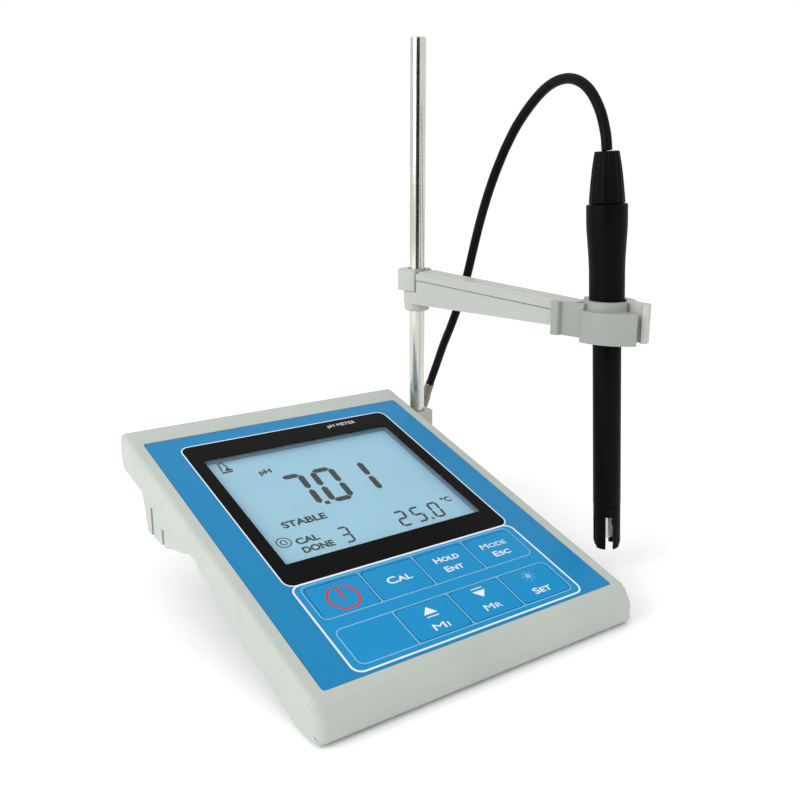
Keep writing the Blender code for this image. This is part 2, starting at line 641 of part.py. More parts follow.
def helix(radius, wire_r, low, high, turns, sides=5, per_turn=9):
    """A closed wire coil along Z."""
    bm = bmesh.new()
    rings = []
    count = turns * per_turn
    for i in range(count + 1):
        angle = 2 * pi * i / per_turn
        z = low + (high - low) * i / count
        out = Vector((cos(angle), sin(angle), 0))
        loop = []
        for k in range(sides):
            turn = 2 * pi * k / sides
            point = out * (radius + wire_r * cos(turn)) + Vector((0, 0, z + wire_r * sin(turn)))
            loop.append(bm.verts.new(point))
        rings.append(loop)
    bridge(bm, rings)
    bm.faces.new(rings[0])
    bm.faces.new(rings[-1])
    return bm


# --- electrode ----------------------------------------------------------------------------
def electrode_pieces(probe, mats):
    handle = [(0, HANDLE_LOW), (GRIP_R - 0.6, HANDLE_LOW), (GRIP_R, HANDLE_LOW + 0.6),
              (GRIP_R, 24.0), (8.8, 32.0), (HANDLE_R, 39.0), (HANDLE_R, HANDLE_TOP - 0.8),
              (HANDLE_R - 0.8, HANDLE_TOP), (0, HANDLE_TOP)]
    solid("electrode_handle", turned(handle, 28), probe, mats["black"])

    low = HANDLE_TOP + GAP
    relief = [(0, low), (8.3, low), (8.2, low + 2.0), (5.5, RELIEF_TOP - 0.8),
              (4.9, RELIEF_TOP), (0, RELIEF_TOP)]
    solid("strain_relief", turned(relief, 28), probe, mats["black"])

    top = HANDLE_LOW - GAP
    shaft = [(0, SHAFT_LOW), (SHAFT_R - 0.5, SHAFT_LOW), (SHAFT_R, SHAFT_LOW + 0.5),
             (SHAFT_R, top), (0, top)]
    solid("electrode_shaft", turned(shaft, 28), probe, mats["black"])

    top = SHAFT_LOW - GAP
    outer = [(6.6, top), (6.6, GUARD_LOW + 3.0), (5.9, GUARD_LOW)]
    guard = solid("bulb_guard", turned(outer + [(4.6, GUARD_LOW), (5.2, GUARD_LOW + 3.0),
                                                (5.2, top)], 24), probe, mats["black"])
    slots = [prism(rect(-9.0, 9.0, -1.9, 1.9), GUARD_LOW - 2.0, top - 5.0),
             prism(rect(-1.9, 1.9, -9.0, 9.0), GUARD_LOW - 2.0, top - 5.0)]
    cut(guard, *[solid("guard_slot_cutter_%d" % i, bm, probe) for i, bm in enumerate(slots)])

    bulb = [(0, GUARD_LOW + 4.2)]
    bulb += [(3.6 * sin(t), GUARD_LOW + 7.8 - 3.6 * cos(t)) for t in
             [radians(20 * k) for k in range(1, 8)]]
    bulb += [(2.3, GUARD_LOW + 11.5), (2.3, top), (0, top)]
    solid("glass_bulb", turned(bulb, 16), probe, mats["clear"])


# --- cable and plug -----------------------------------------------------------------------
def axis_of_electrode():
    lean, yaw = radians(LEAN), radians(LEAN_YAW)
    return Vector((sin(lean) * cos(yaw), sin(lean) * sin(yaw), cos(lean)))


def clip_centre():
    yaw = radians(ARM_YAW)
    return Vector((ROD_X + REACH * cos(yaw), ROD_Y + REACH * sin(yaw), CLIP_Z))


def smooth_curve(route, steps=5):
    """Points of a smooth curve through the route's own points."""
    points = [Vector(p) for p in route]
    curve = []
    for i in range(len(points) - 1):
        here, there = points[i], points[i + 1]
        before = points[i - 1] if i else here * 2 - there
        after = points[i + 2] if i + 2 < len(points) else there * 2 - here
        reach = (there - here).length / 3
        one = here + (there - before).normalized() * reach
        two = there - (after - here).normalized() * reach
        curve += list(interpolate_bezier(here, one, two, there, steps + 1))[:-1]
    return curve + [points[-1]]


def tube(name, points, radius, parent, mat):
    curve = bpy.data.curves.new(name, "CURVE")
    curve.dimensions = "3D"
    curve.bevel_depth = radius * MM
    curve.bevel_resolution = 2
    curve.use_fill_caps = True
    spline = curve.splines.new("POLY")
    spline.points.add(len(points) - 1)
    for point, co in zip(spline.points, points):
        point.co = (*(Vector(co) * MM), 1.0)
    obj = bpy.data.objects.new(name, curve)
    bpy.context.collection.objects.link(obj)
    obj.parent = parent
    curve.materials.append(mat)
    return obj


RISE = ((121.3, 195.8, 63.5), (120.6, 188.5, 76.5), (119.6, 181.0, 89.5), (118.6, 172.6, 102.5),
        (117.8, 163.8, 118.0), (117.1, 156.8, 133.5), (116.6, 151.0, 149.0))
ARCH_REAR = ((116.5, 150.6, 150.2), (116.0, 145.4, 163.5), (115.2, 138.6, 178.0),
             (114.6, 131.8, 190.5), (113.9, 124.0, 202.5))
ARCH_FRONT = ((113.8, 123.4, 203.3), (113.0, 113.6, 215.0), (112.0, 99.5, 227.0),
              (110.8, 87.0, 233.2), (109.6, 74.0, 234.3), (108.5, 62.5, 229.8),
              (107.5, 53.6, 220.5), (107.1, 48.6, 209.5))
TAIL = ((122.2, 205.2, 45.8), (121.9, 211.6, 34.8), (117.6, 219.8, 25.6), (108.8, 226.6, 20.4),
        (96.5, 231.0, 18.0), (83.0, 233.2, 17.6), (69.5, 234.0, 18.8), (56.5, 232.8, 21.2),
        (44.8, 228.4, 23.8), (35.2, 221.0, 25.9), (30.0, 213.6, 26.8))
BOOT_END = 44.0


def cable_pieces(meter, mats):
    """The cable from the electrode's strain relief to the plug on the rear face."""
    start = clip_centre() + axis_of_electrode() * (RELIEF_TOP + GAP)
    front = smooth_curve(list(ARCH_FRONT) + [tuple(start)], 3)
    tube("cable_arch_front", front, CABLE_R, meter, mats["cable"])
    tube("cable_arch_rear", smooth_curve(ARCH_REAR, 3), CABLE_R, meter, mats["cable"])
    tube("cable_rise", smooth_curve(RISE, 3), CABLE_R, meter, mats["cable"])
    end = (SOCKET_X, SOCKET_Y + BOOT_END + GAP, SOCKET_Z)
    tube("cable_tail", smooth_curve(list(TAIL) + [end], 2), CABLE_R, meter, mats["cable"])

    low, high = Vector(TAIL[0]), Vector(RISE[0])
    axis = (high - low).normalized()
    length = (high - low).length - 4 * GAP
    sleeve = [(0, 0), (2.9, 0), (3.2, 0.5), (3.2, length * 0.45), (2.8, length * 0.5),
              (2.8, length - 0.5), (2.5, length), (0, length)]
    solid("cable_sleeve", moved(turned(sleeve, 16), along(axis, low + axis * 2 * GAP)), meter,
          mats["nickel"])


def plug_pieces(meter, mats):
    place = (SOCKET_X, SOCKET_Y, SOCKET_Z)
    back = along((0, 1, 0))
    collar = [(7.3, 2.6), (7.3, 4.0), (6.9, 4.4), (6.9, 11.6), (7.3, 12.0), (7.3, 15.4),
              (6.7, 16.0), (5.9, 16.0), (5.9, 2.6)]
    solid("bnc_collar", moved(turned(collar, 24), back), meter, mats["nickel"], at=place)
    body = [(0, 11.3), (5.6, 11.3), (5.6, 16.3), (6.2, 16.3), (6.2, 22.6), (5.7, 23.2),
            (4.4, 23.2), (4.4, 25.0), (0, 25.0)]
    solid("bnc_plug", moved(turned(body, 24), back), meter, mats["nickel"], at=place)
    boot = [(0, 25.3), (4.9, 25.3), (4.9, 28.0), (3.1, BOOT_END), (0, BOOT_END)]
    solid("plug_boot", moved(turned(boot, 24), back), meter, mats["black"], at=place)


# --- the whole object ---------------------------------------------------------------------
def build():
    clear_scene()
    mats = {
        "shell": material("shell_plastic", (0.63, 0.65, 0.61), 0.5),
        "arm": material("arm_plastic", (0.58, 0.61, 0.57), 0.5),
        "label": material("label_film", (0.024, 0.27, 0.55), 0.4),
        "key": material("key_film", (0.02, 0.31, 0.63), 0.4),
        "black": material("black_plastic", (0.008, 0.008, 0.009), 0.4),
        "cable": material("cable_jacket", (0.01, 0.01, 0.01), 0.5),
        "clear": material("clear_plastic", (0.9, 0.95, 1.0), 0.05, alpha=0.25),
        "lcd": material("lcd_glass", (0.33, 0.6, 0.75), 0.25),
        "white": material("white_plastic", (0.8, 0.8, 0.78), 0.5),
        "board": material("board_laminate", (0.03, 0.2, 0.08), 0.5),
        "steel": material("polished_steel", (0.6, 0.6, 0.58), 0.2, 1.0),
        "nickel": material("nickel_plate", (0.66, 0.65, 0.62), 0.25, 1.0),
        "rubber": material("rubber", (0.03, 0.03, 0.03), 0.8),
    }
    meter = frame("ph_meter", at=(-ORIGIN[0], -ORIGIN[1], 0))
    panel = frame("panel_frame", meter, (0, 0, LABEL_Z), Matrix.Rotation(radians(SLOPE), 3, "X"))
    arm = frame("arm_frame", meter, (ROD_X, ROD_Y, 0), Matrix.Rotation(radians(ARM_YAW), 3, "Z"))
    lean = axis_of_electrode().to_track_quat("Z", "Y").to_matrix()
    probe = frame("electrode_frame", meter, clip_centre(), lean)

    upper_housing(meter, panel, mats["shell"])
    lower_housing(meter, mats["shell"])
    feet(meter, mats["rubber"])
    housing_screws(meter, mats["steel"])
    panel_pieces(panel, mats)
    board_standoffs(meter, mats["nickel"])
    sockets(meter, mats)
    stand(meter, mats)
    body = arm_pieces(arm, mats)
    jaw = clip_pieces(arm, mats)
    bore = solid("electrode_bore_cutter", rod(GRIP_R + 0.35, -30.0, 30.0, 40), probe)
    cut(body, bore)
    cut(jaw, bore)
    lock_button(arm, mats)
    electrode_pieces(probe, mats)
    cable_pieces(meter, mats)
    plug_pieces(meter, mats)


build()
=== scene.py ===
"""Looks of the benchtop pH meter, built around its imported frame.

Lengths are millimetres in the meter's own frame: X = 0 on the housing's centre line, Y = 0 at
the front edge of the keypad label, Z = 0 on the table. Meshes are written in metres, in the
frame's coordinates.
"""
import json
from math import sin, cos, tan, radians, pi, sqrt, hypot

import bmesh
import bpy
from mathutils import Matrix, Vector
from mathutils.geometry import interpolate_bezier


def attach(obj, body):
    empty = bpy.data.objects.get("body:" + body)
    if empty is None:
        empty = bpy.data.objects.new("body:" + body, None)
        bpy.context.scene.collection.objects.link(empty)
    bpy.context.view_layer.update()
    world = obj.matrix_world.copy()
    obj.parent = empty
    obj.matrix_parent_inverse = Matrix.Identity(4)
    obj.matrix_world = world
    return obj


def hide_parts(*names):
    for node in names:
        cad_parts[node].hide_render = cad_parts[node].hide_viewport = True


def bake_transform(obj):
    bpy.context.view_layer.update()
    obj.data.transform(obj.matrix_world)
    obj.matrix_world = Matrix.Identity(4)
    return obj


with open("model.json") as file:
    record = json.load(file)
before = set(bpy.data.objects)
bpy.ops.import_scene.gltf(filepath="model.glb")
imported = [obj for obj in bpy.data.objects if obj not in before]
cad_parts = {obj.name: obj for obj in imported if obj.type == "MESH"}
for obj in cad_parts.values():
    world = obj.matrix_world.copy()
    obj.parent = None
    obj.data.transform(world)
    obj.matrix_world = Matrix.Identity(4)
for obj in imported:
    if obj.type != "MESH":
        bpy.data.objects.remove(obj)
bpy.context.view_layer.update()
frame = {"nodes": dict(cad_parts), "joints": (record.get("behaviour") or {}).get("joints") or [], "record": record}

MM = 0.001
GAP = 0.3
NODES = frame["nodes"]
BODY_OF = {node: body for body, members in frame["record"]["behaviour"]["bodies"].items()
           for node in members}
JOINTS = {joint["name"]: joint for joint in frame["joints"]}

# --- driving dimensions -------------------------------------------------------------------
SLOPE = 16.0
HALF_W = 80.1
LABEL_W, LABEL_D, LABEL_Z = 146.3, 173.4, 17.6
FRONT_Y, REAR_Y, BELLY_Z = -8.3, 181.8, 1.2
WALL, TOP_WALL = 2.4, 3.0
LABEL_TOP, LABEL_T, RECESS = -0.25, 0.65, 1.2
FRAME = (-58.4, 58.4, 54.1, 164.0)
VIEW = (-52.3, 52.3, 67.0, 151.0)
KEY_PITCH, KEY_W, KEY_D = 27.3, 25.7, 18.6
KEY_ROWS = (40.7, 14.9)
KEY_T, PLUNGER_R, PLUNGER_END = 0.35, 4.0, -6.1
LCD_TOP = -3.4
ROD_X, ROD_Y, ROD_R = 89.8, 167.3, 4.25
ROD_BOTTOM, ROD_TOP = 41.5, 260.0
ARM_YAW, REACH, CLIP_Z = -80.36, 124.2, 128.0
LEAN, LEAN_YAW = 3.2, 144.8
GRIP_R, HANDLE_R, SHAFT_R = 8.25, 9.4, 6.7
HANDLE_LOW, HANDLE_TOP, RELIEF_TOP = -14.0, 50.3, 73.7
SHAFT_LOW, GUARD_LOW = -95.2, -117.7
SOCKET_X, SOCKET_Y, SOCKET_Z, BOOT_END = 29.0, 164.0, 27.0, 44.0
CABLE_R = 2.45
PRINT_T = 0.05                  # thickness of printed lines and letters


# --- local frames, in metres ----------------------------------------------------------------
def facing(axis):
    """Rotation that turns Z onto the axis."""
    return Vector(axis).to_track_quat("Z", "Y").to_matrix().to_4x4()


rod_at = Vector(JOINTS["arm_swing"]["pos_m"])
METER = Matrix.Translation((rod_at.x - ROD_X * MM, rod_at.y - ROD_Y * MM, 0))
PANEL = METER @ Matrix.Translation((0, 0, LABEL_Z * MM)) @ Matrix.Rotation(radians(SLOPE), 4, "X")
ARM = METER @ Matrix.Translation((ROD_X * MM, ROD_Y * MM, 0)) @ Matrix.Rotation(radians(ARM_YAW),
                                                                              4, "Z")
lean_axis = Vector((sin(radians(LEAN)) * cos(radians(LEAN_YAW)),
                    sin(radians(LEAN)) * sin(radians(LEAN_YAW)), cos(radians(LEAN))))
clip_centre = Vector((ROD_X + REACH * cos(radians(ARM_YAW)), ROD_Y + REACH * sin(radians(ARM_YAW)),
                      CLIP_Z))
PROBE = METER @ Matrix.Translation(clip_centre * MM) @ facing(lean_axis)
REAR = METER @ Matrix.Translation((SOCKET_X * MM, SOCKET_Y * MM, SOCKET_Z * MM)) @ facing((0, 1, 0))


# --- camera, light and floor --------------------------------------------------------------
CAMERA_AT = (-217.3, -250.8, 198.5)
CAMERA_LENS, SENSOR = 41.6, 36.0
CAMERA_DIP, CAMERA_TURN = 0.256, -0.615         # radians below level, and from +Y
KEY_AT, KEY_SIDE, KEY_WATTS = (-1.05, 0.0, 0.62), 0.8, 6.4
FLOOR_HALF = 3000.0
CARD_AWAY, CARD_Z, CARD_HALF = 680.0, 250.0, 300.0


def camera():
    data = bpy.data.cameras.new("camera")
    data.lens = CAMERA_LENS
    data.sensor_width = SENSOR
    data.clip_start = 0.01
    cam = bpy.data.objects.new("camera", data)
    cam.matrix_world = METER @ Matrix.Translation(Vector(CAMERA_AT) * MM)
    cam.rotation_euler = (pi / 2 - CAMERA_DIP, 0.0, CAMERA_TURN)
    bpy.context.scene.collection.objects.link(cam)
    bpy.context.scene.camera = cam


def key_light():
    """One large soft light from the left, aimed at the meter."""
    data = bpy.data.lights.new("key_light", "AREA")
    data.shape = "RECTANGLE"
    data.size, data.size_y = KEY_SIDE, KEY_SIDE
    data.energy = KEY_WATTS
    lamp = bpy.data.objects.new("key_light", data)
    lamp.location = KEY_AT
    lamp.rotation_euler = (Vector((0, 0, 0.05)) - Vector(KEY_AT)).to_track_quat("-Z", "Y").to_euler()
    bpy.context.scene.collection.objects.link(lamp)


def studio():
    """White room with one soft light, and a dark card that only reflections see."""
    scene = bpy.context.scene
    scene.view_settings.view_transform = "Standard"
    world = bpy.data.worlds.new("studio")
    world.use_nodes = True
    world.node_tree.nodes["Background"].inputs["Color"].default_value = (1.0, 1.0, 1.0, 1)
    scene.world = world
    key_light()
    bm = bmesh.new()
    bmesh.ops.create_grid(bm, x_segments=1, y_segments=1, size=FLOOR_HALF)
    make("studio_floor", bm, METER, paper("white_paper", 1.0))
    bm = bmesh.new()
    bmesh.ops.create_grid(bm, x_segments=1, y_segments=1, size=1.0)
    away = Vector((CAMERA_AT[0] - ROD_X, CAMERA_AT[1] - ROD_Y, 0)).normalized()
    stand = Matrix.Translation(Vector((ROD_X, ROD_Y, CARD_Z)) + away * CARD_AWAY) @ facing(away)
    moved(bm, stand @ Matrix.Diagonal((CARD_HALF, CARD_HALF, 1, 1)))
    card = make("dark_card", bm, METER, paper("black_felt", 0.02))
    card.visible_camera = card.visible_diffuse = card.visible_shadow = False


# --- mesh helpers ---------------------------------------------------------------------------
def make(name, bm, matrix, mat, smooth=35.0):
    """An object from a bmesh in millimetres in a local frame, with outward faces."""
    bmesh.ops.recalc_face_normals(bm, faces=bm.faces)
    mesh = bpy.data.meshes.new(name)
    bm.to_mesh(mesh)
    bm.free()
    mesh.transform(matrix @ Matrix.Scale(MM, 4))
    mesh.shade_smooth()
    mesh.set_sharp_from_angle(angle=radians(smooth))
    mesh.materials.append(mat)
    obj = bpy.data.objects.new(name, mesh)
    bpy.context.scene.collection.objects.link(obj)
    return obj


def applied(obj):
    """The object with its modifiers made part of its mesh."""
    depsgraph = bpy.context.evaluated_depsgraph_get()
    mesh = bpy.data.meshes.new_from_object(obj.evaluated_get(depsgraph))
    obj.modifiers.clear()
    obj.data = mesh
    return obj


def combine(obj, others, operation):
    for other in others:
        mod = obj.modifiers.new(operation, "BOOLEAN")
        mod.operation = operation
        mod.solver = "EXACT"
        mod.object = other
        bpy.context.view_layer.update()
        applied(obj)
        bpy.data.objects.remove(other)
    return obj


def cut(obj, *others):
    return combine(obj, others, "DIFFERENCE")


def weld(obj, *others):
    return combine(obj, others, "UNION")


def tool(bm, matrix):
    """A short-lived solid that cuts or joins another."""
    return make("tool", bm, matrix, TOOL_MATERIAL)


def moulded(obj, width, angle=32.0, segments=3):
    """Round the sharp edges a little, as a mould or a lathe leaves them."""
    bm = bmesh.new()
    bm.from_mesh(obj.data)
    bmesh.ops.remove_doubles(bm, verts=bm.verts, dist=2e-6)
    bmesh.ops.dissolve_limit(bm, angle_limit=radians(0.6), verts=bm.verts, edges=bm.edges)
    bm.to_mesh(obj.data)
    bm.free()
    obj.data.shade_smooth()
    obj.data.set_sharp_from_angle(angle=radians(angle))
    mod = obj.modifiers.new("edges", "BEVEL")
    mod.width = width * MM
    mod.segments = segments
    mod.limit_method = "ANGLE"
    mod.angle_limit = radians(angle)
    mod.harden_normals = True
    mod.use_clamp_overlap = True
    bpy.context.view_layer.update()
    return applied(obj)


def stands_for(obj, *nodes):
    """The piece rides on the nodes' body and is shown in their place."""
    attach(obj, BODY_OF[nodes[0]])
    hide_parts(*nodes)
    return obj


def printed(obj, body):
    """The piece rides on the body, and stands for no CAD node."""
    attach(obj, body)
    return obj


def finished(node, mat, width):
    """A finer copy of a CAD node, with softened edges and smooth faces."""
    obj = bpy.data.objects.new(node + "_finished", NODES[node].data.copy())
    bpy.context.scene.collection.objects.link(obj)
    obj.data.materials.clear()
    obj.data.materials.append(mat)
    stands_for(moulded(obj, width), node)


def arc(cx, cy, r, start, end, steps):
    angles = [radians(start + (end - start) * i / steps) for i in range(steps + 1)]
    return [(cx + r * cos(a), cy + r * sin(a)) for a in angles]


def rect(x0, x1, y0, y1, r=0.0, steps=8):
    if not r:
        return [(x0, y0), (x1, y0), (x1, y1), (x0, y1)]
    return (arc(x1 - r, y1 - r, r, 0, 90, steps) + arc(x0 + r, y1 - r, r, 90, 180, steps)
            + arc(x0 + r, y0 + r, r, 180, 270, steps) + arc(x1 - r, y0 + r, r, 270, 360, steps))


def rounded(corners, steps=8):
    """A closed outline through (x, y, radius) corners, each rounded by an arc."""
    outline = []
    for i, (x, y, r) in enumerate(corners):
        here = Vector((x, y))
        back = Vector(corners[i - 1][:2]) - here
        ahead = Vector(corners[(i + 1) % len(corners)][:2]) - here
        if not r:
            outline.append((x, y))
            continue
        half = back.angle(ahead) / 2
        centre = here + (back.normalized() + ahead.normalized()).normalized() * (r / sin(half))
        first = here + back.normalized() * (r / tan(half)) - centre
        last = here + ahead.normalized() * (r / tan(half)) - centre
        turn = first.angle_signed(last)
        for k in range(steps + 1):
            spoke = first.copy()
            spoke.rotate(Matrix.Rotation(-turn * k / steps, 2))
            outline.append(tuple(centre + spoke))
    return outline


def bridge(bm, rings):
    """Faces between each closed ring of vertices and the next one."""
    for lower, upper in zip(rings, rings[1:]):
        for i in range(len(lower)):
            k = (i + 1) % len(lower)
            bm.faces.new((lower[i], lower[k], upper[k], upper[i]))


def prism(outline, low, high, axis="Z"):
    """The outline carried from low to high along Z, or along X for (y, z) points."""
    bm = bmesh.new()
    place = (lambda p, h: (h, p[0], p[1])) if axis == "X" else (lambda p, h: (p[0], p[1], h))
    rings = [[bm.verts.new(place(p, h)) for p in outline] for h in (low, high)]
    bm.faces.new(rings[0])
    bm.faces.new(rings[1])
    bridge(bm, rings)
    return bm


def turned(profile, steps=64, flutes=0, depth=0.0):
    """A solid turned about Z from (radius, height) points, fluted along its length if asked."""
    bm = bmesh.new()
    rings = []
    for r, z in profile:
        if r == 0:
            rings.append([bm.verts.new((0, 0, z))])
            continue
        loop = []
        for i in range(steps):
            a = 2 * pi * i / steps
            wave = 1 - depth * (0.5 - 0.5 * cos(flutes * a)) / r if flutes else 1
            loop.append(bm.verts.new((r * wave * cos(a), r * wave * sin(a), z)))
        rings.append(loop)
    if len(rings[0]) > 1:
        rings.append(rings[0])
    for one, two in zip(rings, rings[1:]):
        for i in range(steps):
            k = (i + 1) % steps
            quad = [one[i % len(one)], one[k % len(one)], two[k % len(two)], two[i % len(two)]]
            bm.faces.new(list(dict.fromkeys(quad)))
    return bm


def soft_profile(corners, r=0.5, steps=3):
    """A turned profile whose inner corners are rounded by small arcs."""
    points = [corners[0]]
    for before, here, after in zip(corners, corners[1:], corners[2:]):
        here, back, ahead = Vector(here), Vector(before) - Vector(here), Vector(after) - Vector(here)
        reach = min(r, back.length * 0.45, ahead.length * 0.45)
        one, two = here + back.normalized() * reach, here + ahead.normalized() * reach
        for k in range(steps + 1):
            t = k / steps
            points.append(tuple(one * (1 - t) ** 2 + here * 2 * t * (1 - t) + two * t ** 2))
    return points + [corners[-1]]


def moved(bm, matrix):
    bmesh.ops.transform(bm, matrix=matrix, verts=bm.verts)
    return bm


def merged(*parts):
    bm = bmesh.new()
    for part in parts:
        mesh = bpy.data.meshes.new("part")
        part.to_mesh(mesh)
        part.free()
        bm.from_mesh(mesh)
        bpy.data.meshes.remove(mesh)
    return bm


def plate(name, outlines, low, high, mat, matrix=PANEL):
    """A flat plate in a plane of the given frame; inner outlines are its holes."""
    curve = bpy.data.curves.new(name, "CURVE")
    curve.dimensions = "2D"
    curve.fill_mode = "BOTH"
    curve.extrude = (high - low) / 2
    for outline in outlines:
        spline = curve.splines.new("POLY")
        spline.points.add(len(outline) - 1)
        for point, (x, y) in zip(spline.points, outline):
            point.co = (x, y, 0, 1)
        spline.use_cyclic_u = True
    return flat_mesh(name, curve, (low + high) / 2, mat, matrix)


def flat_mesh(name, curve, height, mat, matrix):
    """The mesh of a flat curve or text, set at a height in the given frame."""
    guide = bpy.data.objects.new(name, curve)
    bpy.context.scene.collection.objects.link(guide)
    bpy.context.view_layer.update()
    mesh = bpy.data.meshes.new_from_object(guide)
    bpy.data.objects.remove(guide)
    bm = bmesh.new()
    bm.from_mesh(mesh)
    bmesh.ops.remove_doubles(bm, verts=bm.verts, dist=1e-4)
    bmesh.ops.translate(bm, vec=(0, 0, height), verts=bm.verts)
    return make(name, bm, matrix, mat)


def lettering(name, words, u, v, cap_height, mat, height, width=None, small_caps=False,
              weight=0.0):
    """Plain letters centred on (u, v) in the panel's plane, as thin solid shapes."""
    curve = bpy.data.curves.new(name, "FONT")
    curve.body = words
    curve.size = cap_height / 0.70
    curve.align_x, curve.align_y = "CENTER", "CENTER"
    curve.extrude = PRINT_T / 2
    curve.offset = weight
    curve.resolution_u = 6
    if small_caps:
        curve.small_caps_scale = 0.78
        for letter in curve.body_format:
            letter.use_small_caps = True
    obj = flat_mesh(name, curve, height, mat, Matrix.Identity(4))
    obj.data.transform(Matrix.Scale(1 / MM, 4))
    xs = [p.co.x for p in obj.data.vertices]
    ys = [p.co.y for p in obj.data.vertices]
    stretch = width / (max(xs) - min(xs)) if width else 1.0
    centre = Matrix.Translation((-(max(xs) + min(xs)) / 2, -(max(ys) + min(ys)) / 2, 0))
    place = Matrix.Translation((u, v, 0)) @ Matrix.Diagonal((stretch, 1, 1, 1)) @ centre
    obj.data.transform(PANEL @ Matrix.Scale(MM, 4) @ place)
    return obj


def joined(name, objects):
    """One object made of several separate ones."""
    first = objects[0]
    bm = bmesh.new()
    for obj in objects:
        bm.from_mesh(obj.data)
    bm.to_mesh(first.data)
    bm.free()
    for other in objects[1:]:
        bpy.data.objects.remove(other)
    first.name = name
    return first


# --- materials ------------------------------------------------------------------------------
def new_material(name, color, rough, metal=0.0):
    mat = bpy.data.materials.new(name)
    mat.use_nodes = True
    shader = mat.node_tree.nodes["Principled BSDF"]
    shader.inputs["Base Color"].default_value = (*color, 1)
    shader.inputs["Roughness"].default_value = rough
    shader.inputs["Metallic"].default_value = metal
    return mat, mat.node_tree, shader


def place_nodes(tree, scale=(1, 1, 1)):
    coords = tree.nodes.new("ShaderNodeTexCoord")
    mapping = tree.nodes.new("ShaderNodeMapping")
    mapping.inputs["Scale"].default_value = scale
    tree.links.new(coords.outputs["Object"], mapping.inputs["Vector"])
    return mapping.outputs["Vector"]


def noise(tree, vector, scale, detail=2.0, rough=0.5):
    node = tree.nodes.new("ShaderNodeTexNoise")
    node.inputs["Scale"].default_value = scale
    node.inputs["Detail"].default_value = detail
    node.inputs["Roughness"].default_value = rough
    tree.links.new(vector, node.inputs["Vector"])
    return node.outputs["Fac"]


def ramp(tree, value, low, high, start=0.3, end=0.7):
    """Map a 0 to 1 value between two colours or two numbers."""
    node = tree.nodes.new("ShaderNodeMapRange" if isinstance(low, float) else "ShaderNodeValToRGB")
    if isinstance(low, float):
        for key, number in (("From Min", start), ("From Max", end), ("To Min", low),
                            ("To Max", high)):
            node.inputs[key].default_value = number
        tree.links.new(value, node.inputs["Value"])
        return node.outputs["Result"]
    node.color_ramp.elements[0].position, node.color_ramp.elements[1].position = start, end
    node.color_ramp.elements[0].color = (*low, 1)
    node.color_ramp.elements[1].color = (*high, 1)
    tree.links.new(value, node.inputs["Fac"])
    return node.outputs["Color"]


def bump(tree, shader, height, strength, distance):
    node = tree.nodes.new("ShaderNodeBump")
    node.inputs["Strength"].default_value = strength
    node.inputs["Distance"].default_value = distance
    tree.links.new(height, node.inputs["Height"])
    tree.links.new(node.outputs["Normal"], shader.inputs["Normal"])


def shade(color, factor):
    return tuple(min(1.0, c * factor) for c in color)


def plastic(name, color, rough=0.45, grain=1700.0, depth=0.25, spread=0.04, gloss=0.35):
    """Moulded plastic: fine spark-eroded grain, a faint mottle and uneven gloss."""
    mat, tree, shader = new_material(name, color, rough)
    shader.inputs["Specular IOR Level"].default_value = gloss
    vector = place_nodes(tree)
    mottle = noise(tree, vector, 22.0, 3.0)
    tree.links.new(ramp(tree, mottle, shade(color, 1 - spread), shade(color, 1 + spread)),
                   shader.inputs["Base Color"])
    tree.links.new(ramp(tree, noise(tree, vector, 140.0, 3.0), rough - 0.06, rough + 0.07),
                   shader.inputs["Roughness"])
    bump(tree, shader, noise(tree, vector, grain, 2.0, 0.6), depth, 0.00012)
    return mat


def film(name, color, rough=0.34, gloss=0.15):
    """Printed polyester film: a fine pebbled face with an even colour and a soft sheen."""
    mat, tree, shader = new_material(name, color, rough)
    shader.inputs["Specular IOR Level"].default_value = gloss
    vector = place_nodes(tree)
    tree.links.new(ramp(tree, noise(tree, vector, 9.0, 2.0), shade(color, 0.97),
                        shade(color, 1.03)), shader.inputs["Base Color"])
    tree.links.new(ramp(tree, noise(tree, vector, 900.0, 2.0), rough - 0.05, rough + 0.06),
                   shader.inputs["Roughness"])
    bump(tree, shader, noise(tree, vector, 2600.0, 1.0), 0.2, 0.00005)
    return mat


def metal(name, color, rough, streak=(1.0, 1.0, 1.0), depth=0.06):
    """Polished metal with fine drawn or turned lines and slight tarnish."""
    mat, tree, shader = new_material(name, color, rough, 1.0)
    vector = place_nodes(tree, streak)
    lines = noise(tree, vector, 2400.0, 4.0, 0.6)
    tree.links.new(ramp(tree, noise(tree, place_nodes(tree), 60.0, 3.0), shade(color, 0.92),
                        shade(color, 1.05)), shader.inputs["Base Color"])
    tree.links.new(ramp(tree, lines, rough * 0.75, rough * 1.35), shader.inputs["Roughness"])
    bump(tree, shader, lines, depth, 0.00004)
    return mat


def clear(name, tint, alpha, rough=0.06):
    """Clear plastic or glass, thin enough to show no bending of what is behind it."""
    mat, tree, shader = new_material(name, tint, rough)
    shader.inputs["Alpha"].default_value = alpha
    vector = place_nodes(tree)
    tree.links.new(ramp(tree, noise(tree, vector, 70.0, 3.0), rough, rough + 0.05),
                   shader.inputs["Roughness"])
    bump(tree, shader, noise(tree, vector, 35.0, 1.0), 0.02, 0.0002)
    return mat


def display_glass(name, color):
    """Liquid-crystal glass: a faintly clouded polariser film with fine pebbling."""
    mat, tree, shader = new_material(name, color, 0.3)
    shader.inputs["Specular IOR Level"].default_value = 0.1
    vector = place_nodes(tree)
    cloud = noise(tree, vector, 16.0, 2.0)
    tree.links.new(ramp(tree, cloud, shade(color, 0.95), shade(color, 1.05)),
                   shader.inputs["Base Color"])
    bump(tree, shader, noise(tree, vector, 2200.0, 1.0), 0.08, 0.00003)
    return mat


